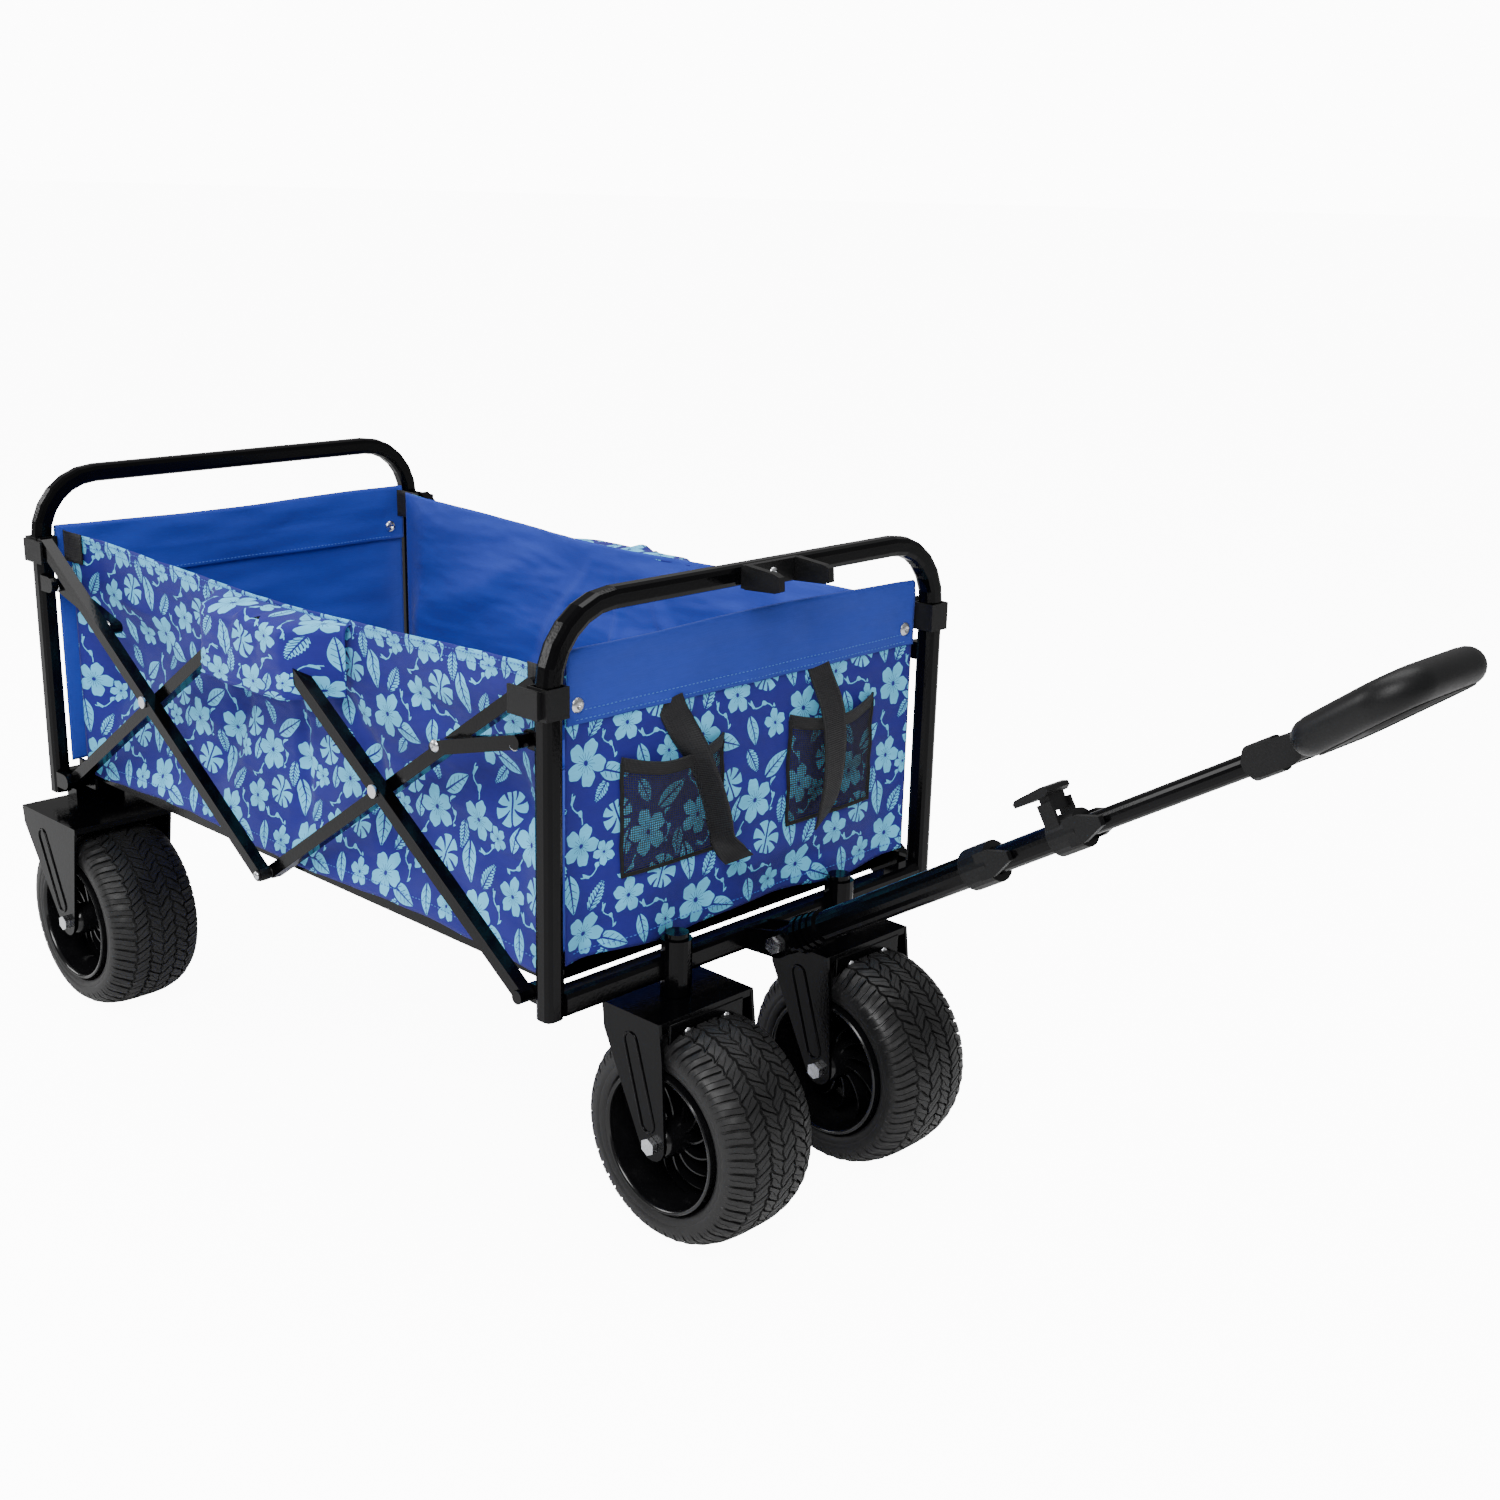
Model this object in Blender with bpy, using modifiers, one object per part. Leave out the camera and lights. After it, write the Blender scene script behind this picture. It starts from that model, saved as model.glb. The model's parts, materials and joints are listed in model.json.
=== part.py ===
"""Collapsible beach cart: two hoop frames, a folding floor, crossed side bars and wide wheels.

Metres, +Z up. +X is the pull direction, +Y is the cart's left side, the ground is Z = 0.
"""

import math

import bmesh
import bpy
from mathutils import Matrix, Vector

# Whole cart: posts, basket and ground clearances
HALF_L = 0.3875        # cart middle to post centres
HALF_W = 0.225         # centre line to post centres
TOP_Z = 0.539          # centre of the hoop's top bar
POST_END_Z = 0.214
BEND_R = 0.061
TUBE = 0.0088          # half the side of a hoop tube
CROSS_TUBE = 0.0105    # half the side of a crossbar
TUBE_ROUND = 0.005
CROSS_Z = 0.225
ORIGIN_X = 0.27585     # middle of the cart and its drawn handle, ahead of the basket's middle
GAP = 0.0003

# Scissor sides
BAR = 0.0058           # half the side of a side bar
PIVOT_X = HALF_L - 0.022
FOOT_Z = 0.229
HEAD_Z = 0.477
INNER_Y = 0.2190
OUTER_Y = 0.2320
LINK_Z = 0.4353
LINK_SHARE = 0.279     # where the link meets its bar, as a share of the bar's length
PIN = 0.0030
PIN_BORE = 0.0031
LUG_R = 0.008
SOCKET_Z = (0.4565, 0.4810)
SOCKET_WALL = 0.0024
SOCKET_GAP = 0.0008     # looser than GAP, since the post starts to bend inside it
SHELF_TOP = 0.4705
HEAD_R = 0.0058        # rivet heads
HEAD_OFF = (0.0005, 0.0024)
PIN_OUT = 0.0015       # how far a pin runs past a bar, into its head
TOP_CUT = 0.018        # how far a rising bar stops short of the cart's middle, as a lap

# Handle clip
CLIP_BASE = 0.0055
CLIP_HALF = 0.0320

# Folding floor
FLOOR_X = 0.3575
FLOOR_Z = 0.238
HINGE_Z = 0.2298
RAIL = 0.008
RAIL_Y = 0.1955
PAD_Z0 = 0.2465
PAD_Z1 = 0.2570

# Wheels
TYRE_R = 0.095
TYRE_HALF = 0.048
SEAT_R = 0.0620
AXLE = 0.0040
AXLE_BORE = 0.00409
ARM_IN = 0.0510
ARM_OUT = 0.0540
STEM_X = HALF_L + 0.012
CASTER_Y = 0.100
TRAIL = 0.030
REAR_AXLE_X = -HALF_L + 0.063
REAR_WHEEL_Y = 0.207
PLATE_Z0 = 0.196
PLATE_Z1 = 0.202

# Pull handle, measured along its tube from the pivot
PULL_X = HALF_L + 0.044
PULL_Z = 0.2305
PITCH = math.radians(31.4)
GRIP_PITCH = math.radians(5.0)
LOWER_END = 0.2303
MIDDLE = (0.105, 0.3173)
UPPER = (0.240, 0.498)
GRIP_AT = 0.514
PRONG = 0.024          # how far a collar's prongs reach past it
LEVER_AT = (0.313, 0.0215)

BLACK = (0.012, 0.012, 0.014)
SATIN = (0.020, 0.020, 0.022)
RUBBER = (0.028, 0.028, 0.030)
SILVER = (0.55, 0.56, 0.58)
BLUE = (0.030, 0.098, 0.430)
PRINT = (0.020, 0.028, 0.260)
MESH = (0.016, 0.016, 0.018)

SIDES = (("right", -1), ("left", 1))


def clear_scene():
    for obj in list(bpy.data.objects):
        bpy.data.objects.remove(obj)


clear_scene()
SCENE = bpy.context.scene
PARTS = bpy.data.collections.new("beach_cart")
CUTTERS = bpy.data.collections.new("cutters")
SCENE.collection.children.link(PARTS)
SCENE.collection.children.link(CUTTERS)
CUTTERS.hide_render = True

BODIES = {}


def body(name, parent, pos, pitch=0.0):
    """An empty on a joint's axis; pitch lifts the piece's own +X."""
    empty = bpy.data.objects.new("body_" + name, None)
    empty.empty_display_size = 0.02
    PARTS.objects.link(empty)
    local = Vector(pos)
    if parent:
        empty.parent = BODIES[parent][0]
        local = BODIES[parent][1].inverted() @ local
    empty.location = local
    turn = Matrix.Rotation(-pitch, 4, "Y")
    world = Matrix.Translation(Vector(pos)) @ turn
    if parent:
        own = BODIES[parent][1].inverted() @ world
        empty.rotation_euler = own.to_euler()
    else:
        empty.rotation_euler = turn.to_euler()
    BODIES[name] = (empty, world)


def material(name, rgb, metallic, roughness):
    mat = bpy.data.materials.new(name)
    mat.use_nodes = True
    shader = mat.node_tree.nodes["Principled BSDF"]
    shader.inputs["Base Color"].default_value = (*rgb, 1.0)
    shader.inputs["Metallic"].default_value = metallic
    shader.inputs["Roughness"].default_value = roughness
    mat.diffuse_color = (*rgb, 1.0)
    return mat


FINISHES = {
    "paint": (BLACK, 0.0, 0.25),
    "plastic": (SATIN, 0.0, 0.5),
    "tyre": (RUBBER, 0.0, 0.8),
    "steel": (SILVER, 1.0, 0.35),
    "plain": (BLUE, 0.0, 0.85),
    "print": (PRINT, 0.0, 0.85),
    "mesh": (MESH, 0.0, 0.9),
}


def outward(bm):
    bmesh.ops.recalc_face_normals(bm, faces=bm.faces)
    if bm.calc_volume(signed=True) < 0:
        bmesh.ops.reverse_faces(bm, faces=bm.faces)


def solid(name, bm, finish, in_body, local=False):
    """A node made from bm, with its origin on the axis of the joint that moves it."""
    empty, world = BODIES[in_body]
    if not local:
        bm.transform(world.inverted())
    outward(bm)
    mesh = bpy.data.meshes.new(name)
    bm.to_mesh(mesh)
    bm.free()
    obj = bpy.data.objects.new(name, mesh)
    obj.parent = empty
    PARTS.objects.link(obj)
    mesh.materials.append(material(name, *FINISHES[finish]))
    return obj


def combine(obj, operation, pieces, local=False):
    """Joins the pieces into one helper and applies it to obj as an exact Boolean."""
    joined = bmesh.new()
    for piece in pieces:
        outward(piece)
        temp = bpy.data.meshes.new("temp")
        piece.to_mesh(temp)
        piece.free()
        joined.from_mesh(temp)
        bpy.data.meshes.remove(temp)
    if not local:
        empty_world = next(w for e, w in BODIES.values() if e == obj.parent)
        joined.transform(empty_world.inverted())
    label = obj.name + "_" + operation.lower() + str(len(obj.modifiers))
    mesh = bpy.data.meshes.new(label)
    joined.to_mesh(mesh)
    joined.free()
    helper = bpy.data.objects.new(label, mesh)
    helper.parent = obj.parent
    helper.hide_render = True
    helper.display_type = "WIRE"
    CUTTERS.objects.link(helper)
    modifier = obj.modifiers.new(operation.title(), "BOOLEAN")
    modifier.operation = operation
    modifier.object = helper
    modifier.solver = "EXACT"
    modifier.use_self = operation == "UNION"
    return obj


def soften(obj, width, segments=1, angle=40):
    modifier = obj.modifiers.new("Bevel", "BEVEL")
    modifier.width = width
    modifier.segments = segments
    modifier.limit_method = "ANGLE"
    modifier.angle_limit = math.radians(angle)
    return obj


def box(x, y, z):
    """A block between the two ends given on each axis."""
    bm = bmesh.new()
    bmesh.ops.create_cube(bm, size=1.0)
    lows = [min(span) for span in (x, y, z)]
    sizes = [abs(span[1] - span[0]) for span in (x, y, z)]
    centre = [low + size / 2 for low, size in zip(lows, sizes)]
    bm.transform(Matrix.Translation(centre) @ Matrix.Diagonal((*sizes, 1.0)))
    return bm


def rod(radius, start, end, sides=16):
    start, end = Vector(start), Vector(end)
    bm = bmesh.new()
    bmesh.ops.create_cone(
        bm, cap_ends=True, segments=sides, radius1=radius, radius2=radius,
        depth=(end - start).length,
    )
    turn = (end - start).to_track_quat("Z", "Y").to_matrix().to_4x4()
    bm.transform(Matrix.Translation((start + end) / 2) @ turn)
    return bm


def prism(outline, y0, y1):
    """An outline of (x, z) points, extruded between y0 and y1."""
    bm = bmesh.new()
    near = [bm.verts.new((x, y0, z)) for x, z in outline]
    far = [bm.verts.new((x, y1, z)) for x, z in outline]
    bm.faces.new(near)
    bm.faces.new(far[::-1])
    count = len(outline)
    for i in range(count):
        j = (i + 1) % count
        bm.faces.new((near[i], far[i], far[j], near[j]))
    return bm


def arc(centre, radius, start, end, steps):
    points = []
    for i in range(steps + 1):
        a = math.radians(start + (end - start) * i / steps)
        points.append((centre[0] + radius * math.cos(a), centre[1] + radius * math.sin(a)))
    return points


def slot_outline(p, q, half, steps=5):
    """A round-ended outline from p to q, both (x, z)."""
    angle = math.degrees(math.atan2(q[1] - p[1], q[0] - p[0]))
    return arc(q, half, angle - 90, angle + 90, steps) + arc(p, half, angle + 90, angle + 270, steps)


def rounded_square(half, radius, steps=2):
    points = []
    for k, (sx, sy) in enumerate(((1, 1), (-1, 1), (-1, -1), (1, -1))):
        centre = (sx * (half - radius), sy * (half - radius))
        points += arc(centre, radius, 90 * k, 90 * k + 90, steps)
    return points


def ring_profile(radius, sides):
    return arc((0, 0), radius, 0, 360 * (sides - 1) / sides, sides - 1)


def sweep(path, side, profile, closed=False):
    """The profile carried along a flat path; side is the normal of the path's plane."""
    side = Vector(side).normalized()
    bm = bmesh.new()
    rings = []
    count = len(path)
    for i, point in enumerate(path):
        before = path[i - 1] if i or closed else point
        after = path[(i + 1) % count] if i < count - 1 or closed else point
        along = (Vector(after) - Vector(before)).normalized()
        across = side.cross(along)
        ring = []
        for u, v in profile:
            ring.append(bm.verts.new(Vector(point) + side * u + across * v))
        rings.append(ring)
    pairs = count if closed else count - 1
    for i in range(pairs):
        a, b = rings[i], rings[(i + 1) % count]
        for j in range(len(profile)):
            k = (j + 1) % len(profile)
            bm.faces.new((a[j], a[k], b[k], b[j]))
    if not closed:
        bm.faces.new(rings[0][::-1])
        bm.faces.new(rings[-1])
    return bm


def lathe(name, profile, steps, finish, in_body, y=0.0):
    """A closed (radius, y) outline turned about the body's own Y axis."""
    mesh = bpy.data.meshes.new(name)
    verts = [(radius, y + along, 0.0) for radius, along in profile]
    edges = [(i, (i + 1) % len(profile)) for i in range(len(profile))]
    mesh.from_pydata(verts, edges, [])
    obj = bpy.data.objects.new(name, mesh)
    obj.parent = BODIES[in_body][0]
    PARTS.objects.link(obj)
    mesh.materials.append(material(name, *FINISHES[finish]))
    screw = obj.modifiers.new("Screw", "SCREW")
    screw.axis = "Y"
    screw.steps = steps
    screw.render_steps = steps
    screw.use_merge_vertices = True
    screw.merge_threshold = 0.00001
    screw.use_normal_calculate = True
    return obj


# Bodies and the axes they turn on
body("root", None, (0, 0, 0))
BODIES["root"][0].location.x = -ORIGIN_X
body("floor_front", "root", (FLOOR_X, 0, FLOOR_Z))
body("floor_rear", "floor_front", (0, 0, HINGE_Z))
body("rear", "floor_rear", (-FLOOR_X, 0, FLOOR_Z))
MID_Z = (FOOT_Z + HEAD_Z) / 2
for side, s in SIDES:
    body("front_rise_" + side, "root", (PIVOT_X, s * OUTER_Y, FOOT_Z))
    body("front_fall_" + side, "front_rise_" + side, (PIVOT_X / 2, s * INNER_Y, MID_Z))
    body("rear_rise_" + side, "rear", (-PIVOT_X, s * INNER_Y, FOOT_Z))
    body("rear_fall_" + side, "rear_rise_" + side, (-PIVOT_X / 2, s * OUTER_Y, MID_Z))
    body("front_link_" + side, "root", (PIVOT_X, s * OUTER_Y, LINK_Z))
    body("rear_link_" + side, "rear", (-PIVOT_X, s * INNER_Y, LINK_Z))
    body("caster_" + side, "root", (STEM_X, s * CASTER_Y, PLATE_Z1))
    body("front_wheel_" + side, "caster_" + side, (STEM_X + TRAIL, s * CASTER_Y, TYRE_R))
    body("rear_wheel_" + side, "rear", (REAR_AXLE_X, s * REAR_WHEEL_Y, TYRE_R))


def along_handle(distance, rise=0.0):
    turn = Matrix.Rotation(-PITCH, 4, "Y")
    return Vector((PULL_X, 0, PULL_Z)) + turn @ Vector((distance, 0, rise))


body("pull", "root", along_handle(0), PITCH)
body("pull_middle", "pull", along_handle(MIDDLE[1]), PITCH)
body("pull_upper", "pull_middle", along_handle(UPPER[1]), PITCH)
body("lever", "pull_middle", along_handle(*LEVER_AT), PITCH)
body("grip", "pull_upper", along_handle(GRIP_AT), PITCH + GRIP_PITCH)


def hoop_path(x):
    """Up one post, across the top and down the other."""
    path = [Vector((x, -HALF_W, POST_END_Z))]
    low = TOP_Z - BEND_R
    for y, z in arc((-HALF_W + BEND_R, low), BEND_R, 180, 90, 6):
        path.append(Vector((x, y, z)))
    for y, z in arc((HALF_W - BEND_R, low), BEND_R, 90, 0, 6):
        path.append(Vector((x, y, z)))
    path.append(Vector((x, HALF_W, POST_END_Z)))
    return path


def lug(x_sign, s, z, layer):
    """A plate from the post to a pivot, with the rivet that the bar turns on."""
    if layer == "inner":
        face, back, out = OUTER_Y - BAR, OUTER_Y + BAR, 1
    else:
        face, back, out = INNER_Y + BAR, INNER_Y - BAR, -1
    plate = (face - out * 0.0078, face - out * 0.0008)
    pin = (face - out * PIN_OUT, back + out * PIN_OUT)
    head = (back + out * HEAD_OFF[0], back + out * HEAD_OFF[1])
    outline = arc((PIVOT_X, z), LUG_R, 90, 270, 6)
    outline += [(HALF_L - 0.004, z - LUG_R), (HALF_L - 0.004, z + LUG_R)]
    outline = [(x_sign * x, height) for x, height in outline]
    x = x_sign * PIVOT_X
    return [
        prism(outline, s * plate[0], s * plate[1]),
        rod(PIN, (x, s * pin[0], z), (x, s * pin[1], z)),
        rod(HEAD_R, (x, s * head[0], z), (x, s * head[1], z), 12),
    ]


# Hoop frames
for end, x_sign, in_body, layer in (("front", 1, "root", "inner"), ("rear", -1, "rear", "outer")):
    profile = rounded_square(TUBE, TUBE_ROUND)
    hoop = solid(end + "_hoop", sweep(hoop_path(x_sign * HALF_L), (1, 0, 0), profile), "paint", in_body)
    for side, s in SIDES:
        for z in (FOOT_Z, LINK_Z):
            for piece in lug(x_sign, s, z, layer):
                combine(hoop, "UNION", [piece])

# Lower crossbars, with hinge ears for the floor
for end, x_sign, in_body in (("front", 1, "root"), ("rear", -1, "rear")):
    x = x_sign * HALF_L
    reach = HALF_W - TUBE - GAP
    path = [Vector((x, -reach, CROSS_Z)), Vector((x, reach, CROSS_Z))]
    bar = solid(
        end + "_crossbar", sweep(path, (1, 0, 0), rounded_square(CROSS_TUBE, TUBE_ROUND)), "paint", in_body
    )
    ears = []
    for side, s in SIDES:
        ear = (x_sign * (FLOOR_X - 0.008), x_sign * (HALF_L - 0.007))
        ears.append(box(ear, (s * 0.2040, s * 0.2068), (0.219, 0.2465)))
    combine(bar, "UNION", ears)
    pins = []
    for side, s in SIDES:
        pivot = x_sign * FLOOR_X
        pins.append(rod(PIN, (pivot, s * 0.2055, FLOOR_Z), (pivot, s * 0.191, FLOOR_Z)))
    combine(bar, "UNION", pins)
    if end == "front":
        housings = [
            rod(0.0130, (STEM_X, s * CASTER_Y, 0.2028), (STEM_X, s * CASTER_Y, 0.2510), 20)
            for side, s in SIDES
        ]
        combine(bar, "UNION", housings)
        outline = arc((PULL_X, PULL_Z), 0.012, -90, 90, 6)
        outline += [(HALF_L + 0.004, 0.2340), (HALF_L + 0.004, 0.2165)]
        cheeks = [prism(outline, s * 0.0125, s * 0.0160) for side, s in SIDES]
        combine(bar, "UNION", cheeks)
        bores = [
            rod(0.00609, (STEM_X, s * CASTER_Y, 0.19), (STEM_X, s * CASTER_Y, 0.27), 20)
            for side, s in SIDES
        ]
        bores.append(rod(0.0043, (PULL_X, -0.03, PULL_Z), (PULL_X, 0.03, PULL_Z)))
        combine(bar, "DIFFERENCE", bores)

bolt = solid(
    "handle_pivot_bolt", rod(AXLE, (PULL_X, -0.018, PULL_Z), (PULL_X, 0.018, PULL_Z)), "steel", "root"
)
combine(
    bolt,
    "UNION",
    [rod(0.0078, (PULL_X, s * 0.0164, PULL_Z), (PULL_X, s * 0.0205, PULL_Z), 6) for side, s in SIDES],
)

# Moulded sockets that the high ends of the side bars rest in
for end, x_sign, in_body in (("front", 1, "root"), ("rear", -1, "rear")):
    for side, s in SIDES:
        x = x_sign * HALF_L
        outer = TUBE + SOCKET_WALL
        sleeve = box((x - outer, x + outer), (s * (HALF_W - outer), s * (HALF_W + outer)), SOCKET_Z)
        socket = solid("_".join((end, "socket", side)), sleeve, "plastic", in_body)
        low, high = SOCKET_Z
        cheek_x = (x_sign * 0.3590, x_sign * (HALF_L + 0.006))
        bridge_x = (x_sign * 0.3780, x_sign * (HALF_L + 0.006))
        cheek = box(cheek_x, (s * 0.2386, s * 0.2410), (low + 0.001, high - 0.001))
        bridge = box(bridge_x, (s * 0.2352, s * 0.2402), (low + 0.002, high - 0.002))
        combine(socket, "UNION", [cheek])
        combine(socket, "UNION", [bridge])
        shelf_y = (0.2290, 0.2400) if end == "rear" else (0.2130, 0.2240)
        shelf_x = (x_sign * 0.3668, x_sign * 0.3772)
        shelf = box(shelf_x, (s * shelf_y[0], s * shelf_y[1]), (low + 0.001, SHELF_TOP))
        combine(socket, "UNION", [shelf])
        hole = TUBE + SOCKET_GAP
        bore = box((x - hole, x + hole), (s * (HALF_W - hole), s * (HALF_W + hole)), (0.44, 0.51))
        combine(socket, "DIFFERENCE", [bore])


def side_bar(name, in_body, p, q, y, holes):
    obj = solid(name, prism(slot_outline(p, q, BAR), y - BAR, y + BAR), "paint", in_body)
    bores = [rod(PIN_BORE, (x, y - 0.012, z), (x, y + 0.012, z)) for x, z in holes]
    return combine(obj, "DIFFERENCE", bores)


# Crossed side bars, their middle rivets and the short links
for side, s in SIDES:
    for end, x_sign, rise_y, fall_y in (("front", 1, OUTER_Y, INNER_Y), ("rear", -1, INNER_Y, OUTER_Y)):
        foot = (x_sign * PIVOT_X, FOOT_Z)
        middle = (x_sign * PIVOT_X / 2, MID_Z)
        high = (x_sign * TOP_CUT, HEAD_Z - (HEAD_Z - FOOT_Z) * TOP_CUT / PIVOT_X)
        top = (x_sign * PIVOT_X, HEAD_Z)
        low = (0.0, FOOT_Z)
        tag = "_".join((end, "{}", "bar", side))
        bodies = (end + "_rise_" + side, end + "_fall_" + side)
        side_bar(tag.format("rise"), bodies[0], foot, high, s * rise_y, (foot, middle))
        side_bar(tag.format("fall"), bodies[1], top, low, s * fall_y, (middle,))
        x, z = middle
        inner, outer = INNER_Y - BAR, OUTER_Y + BAR
        shank = rod(PIN, (x, s * (inner - PIN_OUT), z), (x, s * (outer + PIN_OUT), z))
        rivet = solid("_".join((end, "cross_rivet", side)), shank, "steel", bodies[0])
        for near, far in (
            (inner - HEAD_OFF[1], inner - HEAD_OFF[0]),
            (outer + HEAD_OFF[0], outer + HEAD_OFF[1]),
        ):
            combine(rivet, "UNION", [rod(HEAD_R, (x, s * near, z), (x, s * far, z), 12)])
        joint = (x_sign * PIVOT_X * (1 - LINK_SHARE), HEAD_Z + (FOOT_Z - HEAD_Z) * LINK_SHARE)
        pivot = (x_sign * PIVOT_X, LINK_Z)
        side_bar("_".join((end, "link", side)), end + "_link_" + side, pivot, joint, s * rise_y, (pivot,))

# Folding floor: two frames with a padded board on each
for end, x_sign in (("front", 1), ("rear", -1)):
    in_body = "floor_" + end
    outer = x_sign * (FLOOR_X + RAIL)
    inner = x_sign * GAP
    z = (FLOOR_Z - RAIL, FLOOR_Z + RAIL)
    edge = RAIL_Y + RAIL
    frame = solid(in_body + "_frame", box((inner, outer), (-edge, edge), z), "paint", in_body)
    window = RAIL_Y - RAIL
    holes = [box((x_sign * (2 * RAIL), x_sign * (FLOOR_X - RAIL)), (-window, window), (0.21, 0.26))]
    combine(frame, "DIFFERENCE", holes)
    pivot = x_sign * FLOOR_X
    bores = [
        rod(PIN_BORE, (pivot, s * 0.188, FLOOR_Z), (pivot, s * 0.210, FLOOR_Z)) for side, s in SIDES
    ]
    combine(frame, "DIFFERENCE", bores)
    pad = box((x_sign * 0.0012, x_sign * 0.3620), (-0.1960, 0.1960), (PAD_Z0, PAD_Z1))
    soften(solid(in_body + "_pad", pad, "plain", in_body), 0.003, 2)

# Fabric walls
CORNER_R = BEND_R - 0.0145
CORNER = (HALF_W - BEND_R, TOP_Z - BEND_R)
END_OUTLINE = [(-0.2105, 0.2400), (0.2105, 0.2400)]
END_OUTLINE += arc(CORNER, CORNER_R, 0, 90, 4) + arc((-CORNER[0], CORNER[1]), CORNER_R, 90, 180, 4)
for end, x_sign, in_body in (("front", 1, "root"), ("rear", -1, "rear")):
    wall = prism(END_OUTLINE, x_sign * 0.3805, x_sign * 0.3865)
    wall.transform(Matrix(((0, 1, 0, 0), (1, 0, 0, 0), (0, 0, 1, 0), (0, 0, 0, 1))))
    panel = solid(end + "_panel", wall, "plain" if end == "rear" else "print", in_body)
    soften(panel, 0.0015, 1)
for side, s in SIDES:
    wall = box((-0.3640, 0.3640), (s * 0.2042, s * 0.2068), (0.2480, 0.4860))
    soften(solid("side_panel_" + side, wall, "print", "root"), 0.0008, 1)
    pocket = box((0.3868, 0.4020), (s * 0.0400, s * 0.1500), (0.3120, 0.4050))
    pocket = soften(solid("pocket_" + side, pocket, "mesh", "root"), 0.0012, 1)
    combine(pocket, "DIFFERENCE", [box((0.3880, 0.4008), (s * 0.0415, s * 0.1485), (0.3135, 0.4200))])

# Clip on the front of the top bar that holds the raised handle
clip_back = HALF_L + TUBE + GAP
clip = solid(
    "handle_clip",
    box((clip_back, clip_back + CLIP_BASE), (-CLIP_HALF, CLIP_HALF), (TOP_Z - 0.0095, TOP_Z + 0.0095)),
    "plastic",
    "root",
)
for side, s in SIDES:
    front = clip_back + CLIP_BASE
    prong = [(front - 0.001, TOP_Z - 0.0100), (front - 0.001, TOP_Z + 0.0100)]
    prong += [(front + 0.030, TOP_Z + 0.0076), (front + 0.036, TOP_Z + 0.0056)]
    prong += [(front + 0.037, TOP_Z - 0.0060), (front + 0.032, TOP_Z - 0.0078)]
    combine(clip, "UNION", [prism(prong, s * (CLIP_HALF - 0.006), s * (CLIP_HALF + 0.0005))])


def tyre_profile():
    edge = TYRE_HALF
    half = [(SEAT_R, 0.041), (0.0720, 0.0460), (0.0820, edge), (0.0895, 0.0455), (0.0935, 0.0390)]
    half += [(TYRE_R, 0.0280)]
    return [(r, -y) for r, y in half] + [(r, y) for r, y in half[::-1]]


def rim_profile():
    """Barrel with a lip at both ends, a dished web and a long hub."""
    outer = SEAT_R - GAP
    return [
        (AXLE_BORE, -0.0500), (0.0130, -0.0500), (0.0150, -0.0330), (0.0300, -0.0200), (0.0540, -0.0250),
        (0.0575, -0.0400), (outer, -0.0425), (outer, 0.0425), (0.0575, 0.0400), (0.0540, -0.0170),
        (0.0300, -0.0130), (0.0150, 0.0000), (0.0130, 0.0500), (AXLE_BORE, 0.0500),
    ]


def blade_windows(count=10, steps=4):
    """The curved gaps between a rim's blade spokes."""
    windows = []
    for k in range(count):
        outline = []
        for start, lean in ((5.0, 1), (24.0, -1)):
            edge = []
            for i in range(steps + 1):
                t = i / steps
                radius = 0.0225 + (0.0515 - 0.0225) * t
                angle = start + 30.0 * t * t + (6.0 if lean > 0 else -2.0) * (1 - t)
                angle = math.radians(angle + 360.0 * k / count)
                edge.append((radius * math.cos(angle), radius * math.sin(angle)))
            outline += edge if lean > 0 else edge[::-1]
        windows.append(prism(outline, -0.045, 0.030))
    return windows


def turned(pieces, s):
    """Pieces mirrored for the other side of the cart."""
    for piece in pieces:
        piece.transform(Matrix.Diagonal((1.0, s, 1.0, 1.0)))
    return pieces


def wheel(end, side, s, in_body):
    profile = [(r, y * -s) for r, y in rim_profile()]
    rim = lathe("_".join((end, "rim", side)), profile, 30, "paint", in_body)
    combine(rim, "DIFFERENCE", turned(blade_windows(), -s), local=True)
    lathe("_".join((end, "tyre", side)), tyre_profile(), 36, "tyre", in_body)


def fork(name, in_body, outline, y):
    """A bent plate: a flat top and an arm on each side of the wheel."""
    spans = [(y - ARM_OUT, y - ARM_IN), (y + ARM_IN, y + ARM_OUT)]
    obj = solid(name, prism(outline, *spans[0]), "paint", in_body)
    combine(obj, "UNION", [prism(outline, *spans[1])])
    xs = [point[0] for point in outline if point[1] > PLATE_Z0]
    top = box((min(xs), max(xs)), (y - ARM_OUT, y + ARM_OUT), (PLATE_Z0, PLATE_Z1))
    return combine(obj, "UNION", [top])


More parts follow.
